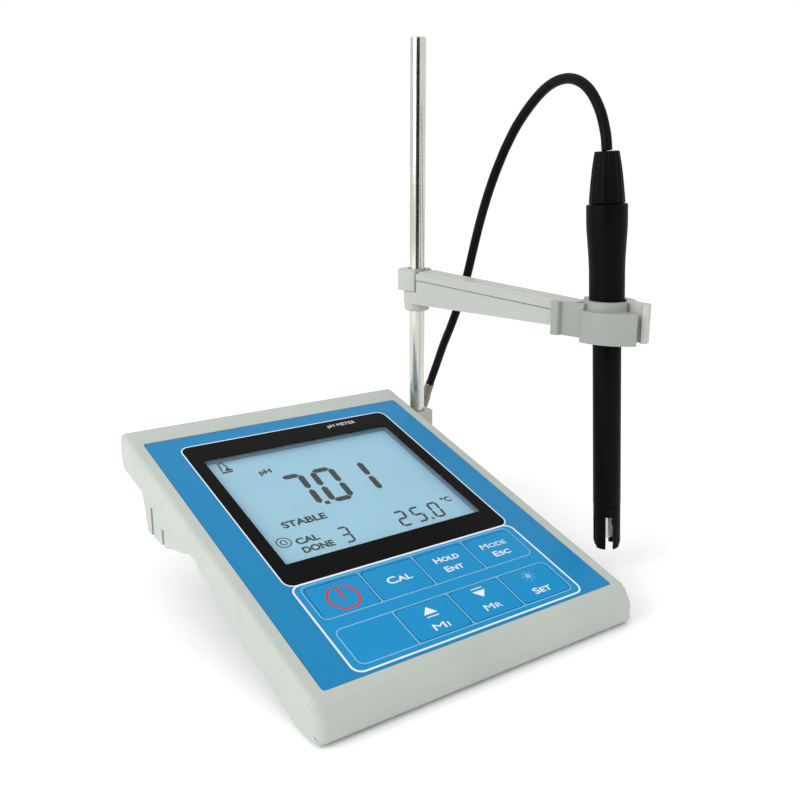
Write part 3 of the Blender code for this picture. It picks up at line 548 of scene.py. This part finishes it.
def laminate(name, color):
    """Printed circuit board: solder mask over a faint weave of glass cloth."""
    mat, tree, shader = new_material(name, color, 0.35)
    wave = tree.nodes.new("ShaderNodeTexWave")
    wave.inputs["Scale"].default_value = 380.0
    wave.inputs["Distortion"].default_value = 1.5
    tree.links.new(place_nodes(tree), wave.inputs["Vector"])
    tree.links.new(ramp(tree, wave.outputs["Fac"], shade(color, 0.8), shade(color, 1.15)),
                   shader.inputs["Base Color"])
    bump(tree, shader, wave.outputs["Fac"], 0.1, 0.00005)
    return mat


def paper(name, level):
    """Matt paper or felt of one grey level."""
    mat, tree, shader = new_material(name, (level, level, level), 0.95)
    shader.inputs["Specular IOR Level"].default_value = 0.0
    grain = noise(tree, place_nodes(tree), 3.0, 2.0)
    tree.links.new(ramp(tree, grain, (level * 0.99,) * 3, (level,) * 3), shader.inputs["Base Color"])
    return mat


TOOL_MATERIAL = bpy.data.materials.new("tool_material")
SHELL = plastic("shell_plastic_fine", (0.437, 0.474, 0.44), 0.5, 1500.0, 0.3)
# The clip's grey is set darker than the arm's, to match how dark the clip's front looks.
CLIP_GREY = plastic("clip_plastic_fine", (0.31, 0.33, 0.298), 0.45, 1500.0, 0.2)
ARM_GREY = plastic("arm_plastic_fine", (0.45, 0.465, 0.425), 0.45, 1500.0, 0.2)
BLACK = plastic("black_plastic_fine", (0.0035, 0.003, 0.003), 0.45, 1400.0, 0.2, 0.2, 0.05)
FRAME_BLACK = film("display_frame_ink", (0.003, 0.003, 0.003), 0.3, 0.035)
BLUE = film("label_film_fine", (0.006, 0.20, 0.425))
KEY_BLUE = film("key_film_fine", (0.004, 0.236, 0.50))
WHITE_INK = film("white_ink", (0.72, 0.75, 0.77), 0.42)
PALE_INK = film("pale_ink", (0.20, 0.42, 0.62), 0.42)
RED_INK = film("red_ink", (0.58, 0.03, 0.012), 0.42)
SEGMENT = film("display_segments", (0.010, 0.011, 0.010), 0.4, 0.05)
# Wall round the LCD's opening, coloured teal-grey like the LCD in the frame's shadow: painted shade on a real
# gasket.
GASKET_PAINTED_SHADE = film("display_gasket_painted_shade", (0.07, 0.17, 0.24), 0.6, 0.1)
LCD = display_glass("lcd_glass_fine", (0.275, 0.50, 0.63))
WINDOW = clear("display_window_fine", (0.95, 0.98, 1.0), 0.03)
GLASS = clear("bulb_glass_fine", (0.85, 0.92, 0.95), 0.35)
WHITE = plastic("white_plastic_fine", (0.62, 0.62, 0.6), 0.5)
BOARD = laminate("board_laminate_fine", (0.03, 0.2, 0.08))
STEEL = metal("polished_steel_fine", (0.60, 0.60, 0.55), 0.16, (1.0, 1.0, 0.02))
FERRULE = metal("ferrule_metal_fine", (0.20, 0.20, 0.17), 0.3)
NICKEL = metal("nickel_plate_fine", (0.58, 0.57, 0.53), 0.2)
RUBBER = plastic("rubber_fine", (0.01, 0.01, 0.01), 0.8, 900.0, 0.5, 0.2, 0.1)
JACKET = plastic("cable_jacket_fine", (0.004, 0.004, 0.004), 0.45, 1100.0, 0.25, 0.2, 0.06)


# --- cable ----------------------------------------------------------------------------------
RISE = ((121.3, 195.8, 63.5), (120.6, 188.5, 76.5), (119.6, 181.0, 89.5), (118.6, 172.6, 102.5),
        (117.8, 163.8, 118.0), (117.1, 156.8, 133.5), (116.6, 151.0, 149.0))
ARCH_REAR = ((116.5, 150.6, 150.2), (116.0, 145.4, 163.5), (115.2, 138.6, 178.0),
             (114.6, 131.8, 190.5), (113.9, 124.0, 202.5))
ARCH_FRONT = ((113.8, 123.4, 203.3), (113.0, 113.6, 215.0), (112.0, 99.5, 227.0),
              (110.8, 87.0, 233.2), (109.6, 74.0, 234.3), (108.5, 62.5, 229.8),
              (107.5, 53.6, 220.5), (107.1, 48.6, 209.5))
TAIL = ((122.2, 205.2, 45.8), (121.9, 211.6, 34.8), (117.6, 219.8, 25.6), (108.8, 226.6, 20.4),
        (96.5, 231.0, 18.0), (83.0, 233.2, 17.6), (69.5, 234.0, 18.8), (56.5, 232.8, 21.2),
        (44.8, 228.4, 23.8), (35.2, 221.0, 25.9), (30.0, 213.6, 26.8))


def smooth_curve(route, steps=6):
    """Points of a smooth curve through the route's own points, in the frame's metres."""
    points = [METER @ (Vector(p) * MM) for p in route]
    curve = []
    for i in range(len(points) - 1):
        here, there = points[i], points[i + 1]
        before = points[i - 1] if i else here * 2 - there
        after = points[i + 2] if i + 2 < len(points) else there * 2 - here
        reach = (there - here).length / 3
        one = here + (there - before).normalized() * reach
        two = there - (after - here).normalized() * reach
        curve += list(interpolate_bezier(here, one, two, there, steps + 1))[:-1]
    return curve + [points[-1]]


def tube(name, path, radius, mat, sides=20):
    """A closed round tube along the path, with flat ends."""
    bm = bmesh.new()
    rings = []
    side = Vector((1, 0, 0))
    last = len(path) - 1
    for i, point in enumerate(path):
        ahead = (path[min(i + 1, last)] - path[max(i - 1, 0)]).normalized()
        side = (side - ahead * side.dot(ahead)).normalized()
        up = ahead.cross(side)
        turn = [2 * pi * k / sides for k in range(sides)]
        rings.append([bm.verts.new((point + (side * cos(a) + up * sin(a)) * radius) / MM)
                      for a in turn])
    bridge(bm, rings)
    bm.faces.new(rings[0])
    bm.faces.new(rings[-1])
    return make(name, bm, Matrix.Identity(4), mat, smooth=50.0)


def cable():
    """The electrode's cable, from its strain relief to the plug behind the meter."""
    relief_top = clip_centre + lean_axis * (RELIEF_TOP + GAP)
    boot = (SOCKET_X, SOCKET_Y + BOOT_END + GAP, SOCKET_Z)
    low_joint = tuple((Vector(RISE[-1]) + Vector(ARCH_REAR[0])) / 2)
    high_joint = tuple((Vector(ARCH_REAR[-1]) + Vector(ARCH_FRONT[0])) / 2)
    front = smooth_curve([high_joint, *ARCH_FRONT[1:], tuple(relief_top)])
    rear = smooth_curve([low_joint, *ARCH_REAR[1:-1], high_joint])
    rise = smooth_curve([*RISE[:-1], low_joint])
    tail = smooth_curve(list(TAIL) + [boot])
    pieces = {}
    for name, path in (("cable_arch_front", front), ("cable_arch_rear", rear),
                       ("cable_rise", rise), ("cable_tail", tail)):
        obj = tube(name + "_jacket", path, CABLE_R * MM, JACKET)
        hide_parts(name)
        pieces[name] = obj
    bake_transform(pieces["cable_rise"])
    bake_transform(pieces["cable_arch_rear"])
    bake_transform(pieces["cable_arch_front"])
    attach(pieces["cable_tail"], "root")
    return pieces, {"cable_arch_front": front, "cable_arch_rear": rear, "cable_rise": rise,
                    "cable_tail": tail}


# --- housing --------------------------------------------------------------------------------
UNDERSIDE = ((8.6, BELLY_Z, 6.0), (89.5, 29.4, 4.0), (95.0, 33.0, 4.0), (157.0, 46.2, 3.0))
WING_LOW_Z = 51.3
PORTS = {SOCKET_X: 5.1, 9.5: 4.2, -7.0: 4.2, -25.0: 4.8}
FLOOR_T = 1.8
PAN = ((107.0, 32.4, 6.0), (117.8, 30.3, 6.0), (126.5, 27.6, 2.0))
PLINTH, PLINTH_Z = (-46.0, 46.0, 104.0, 164.0), 3.0
SLOTS = ((129.8, 35.6), (142.5, 42.0))
SCREWS = ((-71.0, 15.0), (71.0, 15.0), (-71.0, 166.0), (71.0, 166.0))
PAD_R, SHANK_R, HEAD_R = 4.4, 1.8, 3.5


def panel_z(y, below=0.0):
    """Height of the panel's plane at a depth y, or of a plane that far below it."""
    return LABEL_Z + y * tan(radians(SLOPE)) - below / cos(radians(SLOPE))


def underside_z(y):
    line = [(FRONT_Y, BELLY_Z)] + [p[:2] for p in UNDERSIDE] + [(REAR_Y, WING_LOW_Z)]
    for (y0, z0), (y1, z1) in zip(line, line[1:]):
        if y0 <= y <= y1:
            return z0 + (z1 - z0) * (y - y0) / (y1 - y0)


def key_places():
    columns = [KEY_PITCH * (i - 1.5) for i in range(4)]
    upper = zip(("power_key", "cal_key", "hold_key", "mode_key"), columns)
    lower = zip(("up_key", "down_key", "light_key"), columns[1:])
    return ([(name, u, KEY_ROWS[0]) for name, u in upper]
            + [(name, u, KEY_ROWS[1]) for name, u in lower])


def edge_radius(normal):
    """How far the side's rounding reaches, from a (y, z) normal: the most at the nose."""
    y, z = normal
    return sqrt((4.6 * min(y, 0)) ** 2 + (3.0 * max(y, 0)) ** 2
                + (2.8 * max(z, 0)) ** 2 + (1.5 * min(z, 0)) ** 2)


def pillow(outline, half_width, steps=7):
    """A slab across X whose outline rounds over into flat sides."""
    count = len(outline)
    normals = []
    for i in range(count):
        (y0, z0), (y1, z1) = outline[i - 1], outline[(i + 1) % count]
        length = hypot(y1 - y0, z1 - z0)
        normals.append((-(z1 - z0) / length, (y1 - y0) / length))
    area = sum(outline[i - 1][0] * outline[i][1] - outline[i][0] * outline[i - 1][1]
               for i in range(count))
    if area > 0:
        normals = [(-y, -z) for y, z in normals]
    bm = bmesh.new()
    rings = []
    for side in (-1, 1):
        angles = [pi / 2 * k / steps for k in range(steps + 1)]
        for angle in (reversed(angles) if side < 0 else angles):
            loop = []
            for (y, z), (ny, nz) in zip(outline, normals):
                r = edge_radius((ny, nz))
                inset = r * (1 - cos(angle))
                x = side * (half_width - r * (1 - sin(angle)))
                loop.append(bm.verts.new((x, y - ny * inset, z - nz * inset)))
            rings.append(loop)
    bridge(bm, rings)
    bm.faces.new(rings[0])
    bm.faces.new(rings[-1])
    return bm


def cylinder(r, low, high, steps=32):
    return turned([(0, low), (r, low), (r, high), (0, high)], steps)


def upper_housing():
    """Hollow shell with the label's recess, the display's pocket and the keys' holes."""
    nose = [(FRONT_Y, BELLY_Z, 2.6), (FRONT_Y, 9.5, 4.5), (-4.6, 15.2, 3.0),
            (-1.6, panel_z(-1.6), 3.0)]
    tail = [(REAR_Y, panel_z(REAR_Y), 3.2), (REAR_Y, WING_LOW_Z, 7.0)]
    outline = rounded((nose + tail + list(reversed(UNDERSIDE)))[::-1], 7)
    body = make("housing_shell", pillow(outline, HALF_W), METER, SHELL, 30.0)
    inner = [(FRONT_Y + WALL, -9.0), (FRONT_Y + WALL, 8.6), (-2.6, 12.6),
             (0.0, panel_z(0.0, TOP_WALL)), (REAR_Y - WALL, panel_z(REAR_Y - WALL, TOP_WALL)),
             (REAR_Y - WALL, 20.0), (100.0, -9.0)]
    cavity = tool(prism(inner, -HALF_W + WALL, HALF_W - WALL, "X"), METER)
    recess = tool(prism(rect(-LABEL_W / 2 - GAP, LABEL_W / 2 + GAP, -GAP, LABEL_D + GAP, 1.5),
                        -RECESS, 5.0), PANEL)
    u0, u1, v0, v1 = FRAME
    pocket = tool(prism(rect(u0 - GAP, u1 + GAP, v0 - GAP, v1 + GAP, 4.0), -1.95, 5.0), PANEL)
    u0, u1, v0, v1 = VIEW
    window = tool(prism(rect(u0 - 0.4, u1 + 0.4, v0 - 0.4, v1 + 0.4), -6.0, 5.0), PANEL)
    holes = [moved(cylinder(PLUNGER_R + 0.5, -6.0, 5.0, 24), Matrix.Translation((u, v, 0)))
             for _, u, v in key_places()]
    cut(body, cavity, recess, pocket, window, tool(merged(*holes), PANEL))
    body.data.set_sharp_from_angle(angle=radians(30.0))
    stands_for(body, "upper_housing")


def lower_housing():
    """Floor of the housing, its deep pan and the plinth with the sockets' ports."""
    half = HALF_W - WALL - GAP
    front, rear = FRONT_Y + WALL + GAP, REAR_Y - WALL - GAP
    low = [(front, BELLY_Z)] + [p[:2] for p in UNDERSIDE] + [(rear, underside_z(rear))]
    high = [(y, z + FLOOR_T) for y, z in reversed(low)]
    body = make("housing_base", prism(low + high, -half, half, "X"), METER, SHELL)
    ends = [(y, underside_z(y) + 1.5, 0.0) for y in (98.5, 153.6)]
    pan_line = rounded([ends[0], *PAN, (148.9, 28.4, 2.0), (150.4, 36.0, 6.0), ends[1]], 8)
    join_line = [(101.0, 33.0), (150.0, 41.0), (152.5, 45.3), (101.0, 34.4)]
    u0, u1, v0, v1 = PLINTH
    plinth = tool(prism(rect(u0, u1, v0, v1, 8.0, 10), PLINTH_Z, 60.0), METER)
    above = [(y, underside_z(y) + FLOOR_T / 2) for y in (95.0, 157.0, 170.0)]
    cut(plinth, tool(prism(above + [(170.0, 80.0), (95.0, 80.0)], u0 - 5, u1 + 5, "X"), METER))
    weld(body, tool(prism(join_line, -half + 2, half - 2, "X"), METER),
         tool(prism(pan_line, -HALF_W, HALF_W, "X"), METER), plinth)
    inner_pan = [(104.5, underside_z(104.5) + 4.0), (110.0, 35.0), (118.5, 32.8), (127.0, 30.2),
                 (146.8, 30.8), (148.2, 37.0), (150.2, underside_z(150.2) + 4.0)]
    inner_plinth = prism(rect(u0 + WALL, u1 - WALL, v0 + WALL, v1 - WALL, 6.0), PLINTH_Z + WALL, 49.5)
    ports = [moved(cylinder(r + GAP, -8.0, 8.0), Matrix.Translation((x, SOCKET_Y, SOCKET_Z))
                   @ facing((0, 1, 0))) for x, r in PORTS.items()]
    slots = [prism(rect(x0, x1, y - 1.2, y + 1.2), 20.0, top)
             for x0, x1 in ((-82.0, -72.0), (72.0, 82.0)) for y, top in SLOTS]
    pads, shanks, heads = [], [], []
    for x, y in SCREWS:
        base = underside_z(y)
        at = Matrix.Translation((x, y, 0))
        pads.append(moved(cylinder(PAD_R, base + 0.4, base + FLOOR_T + 2.6, 24), at))
        shanks.append(moved(cylinder(SHANK_R, 0.0, 60.0, 16), at))
        heads.append(moved(cylinder(HEAD_R, -2.0, base + 2.4, 24), at))
    cut(body, tool(prism(inner_pan, -half + WALL, half - WALL, "X"), METER),
        tool(inner_plinth, METER), tool(merged(*ports), METER), tool(merged(*slots), METER))
    weld(body, tool(merged(*pads), METER))
    cut(body, tool(merged(*shanks), METER), tool(merged(*heads), METER))
    stands_for(moulded(body, 0.5), "lower_housing")


# --- label, display and keys ----------------------------------------------------------------
FIELD = (-58.5, 58.7, 1.5, 53.6)
ROW_BOXES = ((-55.1, 54.6, 30.8, 52.0), (-54.6, 55.2, 4.6, 25.0))
LINE_W = 0.5


def label():
    """Blue printed film round the display and the keys."""
    top, low = LABEL_TOP, LABEL_TOP - LABEL_T
    u0, u1, v0, v1 = FRAME
    opening = rect(u0 - GAP, u1 + GAP, v0 - GAP, v1 + GAP, 4.0)
    field = rect(*FIELD, 4.6)
    outer = plate("keypad_label_film", [rect(-LABEL_W / 2, LABEL_W / 2, 0.0, LABEL_D, 1.2),
                                        opening, field], low, top, BLUE)
    stands_for(outer, "keypad_label")
    half_w, half_d = KEY_W / 2 + GAP, KEY_D / 2 + GAP
    holes = [rect(u - half_w, u + half_w, v - half_d, v + half_d, 2.2) for _, u, v in key_places()]
    printed(plate("keypad_field", [rect(*FIELD, 4.6)] + holes, low, top, KEY_BLUE), "root")


def outline_band(name, box, r, width, mat, lift=PRINT_T / 2):
    u0, u1, v0, v1 = box
    inner = rect(u0 + width, u1 - width, v0 + width, v1 - width, r - width)
    return plate(name, [rect(*box, r), inner], LABEL_TOP - PRINT_T / 2, LABEL_TOP + lift, mat)


def label_print():
    """White lines round the display and the keys."""
    u0, u1, v0, v1 = FRAME
    frame_line = outline_band("display_outline", (u0 - 0.95, u1 + 0.95, v0 - 0.95, v1 + 0.95), 4.9,
                              0.6, WHITE_INK)
    printed(frame_line, "root")
    printed(outline_band("keypad_outline", FIELD, 4.6, 0.85, WHITE_INK, PRINT_T), "root")
    for number, (u0, u1, v0, v1) in enumerate(ROW_BOXES, 1):
        bands = [outline_band("row_outline", (u0, u1, v0, v1), 3.4, LINE_W, PALE_INK)]
        for u in (-KEY_PITCH, 0.0, KEY_PITCH):
            bands.append(plate("divider", [rect(u - LINE_W / 2, u + LINE_W / 2, v0 + LINE_W,
                                                v1 - LINE_W)], LABEL_TOP - PRINT_T / 2,
                               LABEL_TOP + PRINT_T / 2, PALE_INK))
        printed(joined("key_row_lines_%d" % number, bands), "root")


def on_key(name, key, shapes, mat):
    """Thin printed shapes on a key."""
    obj = plate(name, shapes, LABEL_TOP - PRINT_T / 2, LABEL_TOP + PRINT_T / 2, mat)
    printed(obj, BODY_OF[key])


def ring_gap(cx, cy, r, width, start, end, steps=40):
    """Outline of a ring that is open from its end angle to its start angle."""
    return (arc(cx, cy, r + width / 2, start, end, steps)
            + arc(cx, cy, r - width / 2, end, start, steps))


def keys():
    """Seven keys, each a film with its plunger, and the legends that ride on them."""
    half_w, half_d = KEY_W / 2, KEY_D / 2
    for name, u, v in key_places():
        outline = [(x + u, y + v) for x, y in rect(-half_w, half_w, -half_d, half_d, 2.0)]
        obj = make(name + "_film", prism(outline, LABEL_TOP - KEY_T, LABEL_TOP), PANEL, KEY_BLUE)
        plunger = cylinder(PLUNGER_R, PLUNGER_END, LABEL_TOP - 0.1)
        weld(obj, tool(moved(plunger, Matrix.Translation((u, v, 0))), PANEL))
        obj.data.materials.clear()
        obj.data.materials.append(KEY_BLUE)
        stands_for(obj, name)
    legends = (("cal_key", "Cal", -12.8, 40.9, 4.0, 12.0), ("hold_key", "Hold", 14.4, 44.0, 3.4, 13.0),
               ("hold_key", "Ent", 14.0, 37.4, 3.4, 9.4), ("mode_key", "Mode", 41.0, 43.7, 3.4, 14.2),
               ("mode_key", "Esc", 41.2, 37.5, 3.4, 9.2), ("up_key", "Mi", -13.2, 9.9, 3.5, 7.6),
               ("down_key", "Mr", 14.0, 10.6, 3.5, 8.4), ("light_key", "Set", 41.3, 10.3, 3.5, 9.4))
    for key, words, u, v, height, width in legends:
        weight = 0.0 if words[0] == "M" else 0.08       # a bolder M would fill its own gaps
        obj = lettering("legend_" + words.lower(), words, u, v, height, WHITE_INK, LABEL_TOP, width,
                        True, weight)
        printed(obj, BODY_OF[key])
    on_key("power_symbol", "power_key", [ring_gap(-40.5, 40.2, 6.8, 1.0, 112.0, 428.0),
                                         rect(-41.1, -40.1, 38.8, 47.6)], RED_INK)
    on_key("up_symbol", "up_key", [[(-16.4, 17.4), (-9.8, 17.4), (-13.1, 21.4)],
                                   rect(-16.0, -10.2, 15.6, 16.1)], WHITE_INK)
    on_key("down_symbol", "down_key", [[(10.8, 20.6), (17.4, 20.6), (14.1, 16.6)],
                                       rect(11.2, 17.0, 21.9, 22.4)], WHITE_INK)
    sun = [arc(41.3, 19.6, 1.5, 0, 345, 23)]
    for k in range(8):
        turn = Matrix.Rotation(radians(45 * k), 2)
        ray = [turn @ Vector(p) for p in ((2.1, -0.22), (3.2, -0.22), (3.2, 0.22), (2.1, 0.22))]
        sun.append([(41.3 + p.x, 19.6 + p.y) for p in ray])
    on_key("light_symbol", "light_key", sun, PALE_INK)


SEGMENTS = {"0": "abcdef", "1": "bc", "2": "abged", "3": "abgcd", "5": "afgcd", "7": "abc"}


def digit(char, u, v, width, height, stroke, slant=4.0):
    """The lit segments of one seven-segment digit, as six-sided bars."""
    t, h2 = stroke / 2, height / 2
    gap = stroke * 0.08
    left, right = t, width - t
    bars = {"a": (left, height - t, right, height - t), "d": (left, t, right, t),
            "g": (left, h2, right, h2), "b": (right, h2, right, height - t),
            "c": (right, t, right, h2), "e": (left, t, left, h2),
            "f": (left, h2, left, height - t)}
    shapes = []
    for key in SEGMENTS[char]:
        x0, y0, x1, y1 = bars[key]
        ahead = Vector((x1 - x0, y1 - y0)).normalized()
        side = Vector((-ahead.y, ahead.x)) * t
        a, b = Vector((x0, y0)) + ahead * gap, Vector((x1, y1)) - ahead * gap
        points = (a, a + ahead * t + side, b - ahead * t + side, b, b - ahead * t - side,
                  a + ahead * t - side)
        shapes.append([(u + p.x + p.y * tan(radians(slant)), v + p.y) for p in points])
    return shapes


def display():
    """Black frame, liquid-crystal glass with its lit segments, and the clear window."""
    outer = rect(*FRAME, 3.7)
    ring = plate("display_bezel", [outer, rect(*VIEW, 0.8)], LABEL_TOP - 0.4, LABEL_TOP, FRAME_BLACK)
    stands_for(ring, "display_frame")
    u0, u1, v0, v1 = VIEW
    # Painted shade: the gasket's teal-grey stands in for the frame's shadow on the LCD along the far edges.
    gasket_shade = plate("display_gasket_painted_shade", [rect(u0 - 0.35, u1 + 0.35, v0 - 0.35, v1 + 0.35), rect(*VIEW)],
                   LCD_TOP + 0.03, -1.65, GASKET_PAINTED_SHADE)
    printed(gasket_shade, "root")
    u0, u1, v0, v1 = FRAME
    pane = plate("display_pane", [rect(u0 + GAP, u1 - GAP, v0 + GAP, v1 - GAP, 3.4)],
                 LABEL_TOP - 1.35, LABEL_TOP - 0.7, WINDOW)
    stands_for(pane, "display_window")
    title = lettering("bezel_title", "pH METER", 30.0, 159.4, 2.6, WHITE_INK, LABEL_TOP, 17.0)
    printed(title, "root")

    low, high = LCD_TOP - PRINT_T / 2, LCD_TOP + PRINT_T / 2
    lit = []
    for char, u, width in (("7", -25.2, 12.8), ("0", -8.8, 13.4), ("1", 8.8, 12.6)):
        lit += digit(char, u, 102.0, width, 28.2, 3.3)
    lit.append(rect(-12.0, -9.5, 102.0, 104.5))
    for char, u in (("2", 12.6), ("5", 21.6), ("0", 32.0)):
        lit += digit(char, u, 73.4, 6.0, 11.8, 1.3)
    lit.append(rect(29.2, 30.6, 73.4, 74.8))
    lit += digit("3", -18.6, 72.8, 5.4, 11.6, 1.15)
    segments = plate("lcd_segments", lit, low, high, SEGMENT)
    marks = [ring_gap(-44.1, 83.9, 3.3, 0.55, 0, 359.9), ring_gap(-44.1, 83.9, 1.5, 0.6, 40, 300),
             rect(-43.2, -42.7, 82.4, 85.4)]
    marks += [[(-46.2, 141.8), (-40.6, 141.8), (-40.6, 143.0), (-46.2, 143.0)],
              [(-46.0, 143.6), (-45.2, 143.6), (-44.6, 149.6), (-45.4, 149.6)],
              [(-45.4, 149.9), (-42.2, 149.9), (-42.2, 150.7), (-45.4, 150.7)],
              [(-43.0, 149.6), (-42.2, 149.6), (-41.4, 146.0), (-42.2, 146.0)],
              [(-44.2, 143.4), (-39.6, 143.4), (-42.4, 146.2)]]
    icons = plate("lcd_icons", marks, low, high, SEGMENT)
    words = (("pH", -26.5, 136.2, 3.3, 6.6), ("STABLE", -27.9, 94.9, 4.2, 22.6),
             ("CAL", -33.3, 82.2, 3.9, 11.4), ("DONE", -31.2, 75.9, 3.9, 15.6),
             ("°C", 45.2, 84.6, 3.6, 5.4))
    texts = [lettering("lcd_word_%d" % i, text, u, v, cap, SEGMENT, LCD_TOP, width, False, 0.22)
             for i, (text, u, v, cap, width) in enumerate(words)]
    printed(joined("lcd_lit_marks", [segments, icons] + texts), "root")


# --- stand, electrode and plug ------------------------------------------------------------
def stand_rod():
    profile = soft_profile([(0, ROD_BOTTOM), (ROD_R, ROD_BOTTOM), (ROD_R, ROD_TOP), (0, ROD_TOP)],
                           0.7, 4)
    at_rod = METER @ Matrix.Translation((ROD_X * MM, ROD_Y * MM, 0))
    stands_for(make("stand_rod_polished", turned(profile, 72), at_rod, STEEL), "stand_rod")


def electrode():
    """Grip, strain relief, shaft, slotted guard and glass bulb, turned about the leaning axis."""
    top = HANDLE_TOP
    handle = [(0, HANDLE_LOW), (GRIP_R, HANDLE_LOW), (GRIP_R, 20.0), (8.45, 26.0), (8.9, 33.0),
              (9.3, 39.0), (HANDLE_R, 43.0), (HANDLE_R, top), (0, top)]
    stands_for(make("electrode_grip", turned(soft_profile(handle, 0.7), 72), PROBE, BLACK),
               "electrode_handle")
    low = top + GAP
    relief = [(0, low), (8.3, low), (8.2, low + 2.0), (7.7, low + 8.0), (6.8, low + 16.0),
              (5.6, RELIEF_TOP), (0, RELIEF_TOP)]
    stands_for(make("strain_relief_boot", turned(soft_profile(relief, 0.6), 96, 16, 0.35), PROBE,
                    BLACK), "strain_relief")
    top = HANDLE_LOW - GAP
    shaft = [(0, SHAFT_LOW), (SHAFT_R, SHAFT_LOW), (SHAFT_R, top), (0, top)]
    stands_for(make("electrode_body", turned(soft_profile(shaft, 0.5), 72), PROBE, BLACK),
               "electrode_shaft")
    top = SHAFT_LOW - GAP
    wall = [(6.6, top), (6.6, GUARD_LOW + 3.0), (5.9, GUARD_LOW), (4.6, GUARD_LOW),
            (5.2, GUARD_LOW + 3.0), (5.2, top)]
    guard = make("bulb_guard_cage", turned(wall, 64), PROBE, BLACK)
    for slot_box in (rect(-9.0, 9.0, -1.9, 1.9), rect(-1.9, 1.9, -9.0, 9.0)):
        cut(guard, tool(prism(slot_box, GUARD_LOW - 2.0, top - 5.0), PROBE))
    stands_for(moulded(guard, 0.2), "bulb_guard")
    bulb = [(0, GUARD_LOW + 4.2)]
    bulb += [(3.6 * sin(t), GUARD_LOW + 7.8 - 3.6 * cos(t)) for t in
             [radians(7 * k) for k in range(1, 20)]]
    bulb += [(2.3, GUARD_LOW + 11.5), (2.3, top), (0, top)]
    stands_for(make("sensing_bulb", turned(bulb, 48), PROBE, GLASS), "glass_bulb")


def plug():
    """Bayonet plug with a knurled collar and a ribbed boot; the cable's tail carries all three."""
    collar = [(7.3, 2.6), (7.3, 4.0), (6.9, 4.4), (6.9, 11.6), (7.3, 12.0), (7.3, 15.4), (6.7, 16.0),
              (5.9, 16.0), (5.9, 2.6)]
    ring = make("plug_collar", turned(collar, 144, 36, 0.35), REAR, NICKEL)
    body = soft_profile([(0, 11.3), (5.6, 11.3), (5.6, 16.3), (6.2, 16.3), (6.2, 22.6), (5.7, 23.2),
                         (4.4, 23.2), (4.4, 25.0), (0, 25.0)], 0.3)
    shell = make("plug_body", turned(body, 64), REAR, NICKEL)
    ribs = []
    for k in range(4):
        z = 29.0 + 3.3 * k
        r = 4.7 - 0.36 * k
        ribs += [(r, z), (r, z + 1.9), (r - 0.7, z + 2.2), (r - 0.7, z + 3.0)]
    boot = [(0, 25.3), (4.9, 25.3), (4.9, 28.6)] + ribs + [(3.1, 42.6), (3.1, BOOT_END),
                                                           (0, BOOT_END)]
    sleeve = make("plug_strain_boot", turned(soft_profile(boot, 0.3), 48), REAR, BLACK)
    stands_for(ring, "bnc_collar")
    stands_for(shell, "bnc_plug")
    stands_for(sleeve, "plug_boot")
    return [ring, shell, sleeve]


def cable_ferrule():
    """Metal sleeve between the cable's rise and its tail."""
    low, high = Vector(TAIL[0]), Vector(RISE[0])
    axis = (high - low).normalized()
    length = (high - low).length - 4 * GAP
    shape = soft_profile([(0, 0), (2.9, 0), (3.2, 0.5), (3.2, length * 0.45), (2.8, length * 0.5),
                          (2.8, length - 0.5), (2.5, length), (0, length)], 0.3)
    place = Matrix.Translation(low + axis * 2 * GAP) @ facing(axis)
    obj = make("cable_ferrule", moved(turned(shape, 48), place), METER, FERRULE)
    return stands_for(obj, "cable_sleeve")


def remaining_nodes():
    """CAD nodes whose shape is right get finer edges and their materials."""
    finish = {"stand_bracket": (SHELL, 0.6),
              "arm_body": (ARM_GREY, 0.5), "arm_cover": (ARM_GREY, 0.45),
              "clip_jaw": (CLIP_GREY, 0.55), "lock_button": (ARM_GREY, 0.5),
              "rod_bush": (WHITE, 0.2), "clip_pin": (STEEL, 0.15), "lock_spring": (STEEL, 0.05),
              "bnc_socket": (NICKEL, 0.12), "temperature_socket": (NICKEL, 0.2),
              "data_socket": (BLACK, 0.2), "power_socket": (BLACK, 0.2)}
    for side in ("front_left", "front_right", "rear_left", "rear_right"):
        finish["foot_" + side] = (RUBBER, 0.25)
    for number in (1, 2, 3, 4):
        finish["housing_screw_%d" % number] = (STEEL, 0.15)
    finish["bracket_screw_1"] = finish["bracket_screw_2"] = (STEEL, 0.15)
    for node, (mat, width) in finish.items():
        finished(node, mat, width)
    plain = {"lcd_glass": LCD, "backlight_panel": WHITE, "lcd_holder": WHITE, "main_board": BOARD,
             "dome_sheet": WINDOW}
    for number in (1, 2, 3, 4):
        plain["board_standoff_%d" % number] = NICKEL
    for node, mat in plain.items():
        NODES[node].data.materials.clear()
        NODES[node].data.materials.append(mat)


camera()
cable_pieces, cable_paths = cable()
studio()
upper_housing()
lower_housing()
label()
label_print()
keys()
display()
stand_rod()
electrode()
plug_parts = plug()
cable_ferrule()
remaining_nodes()
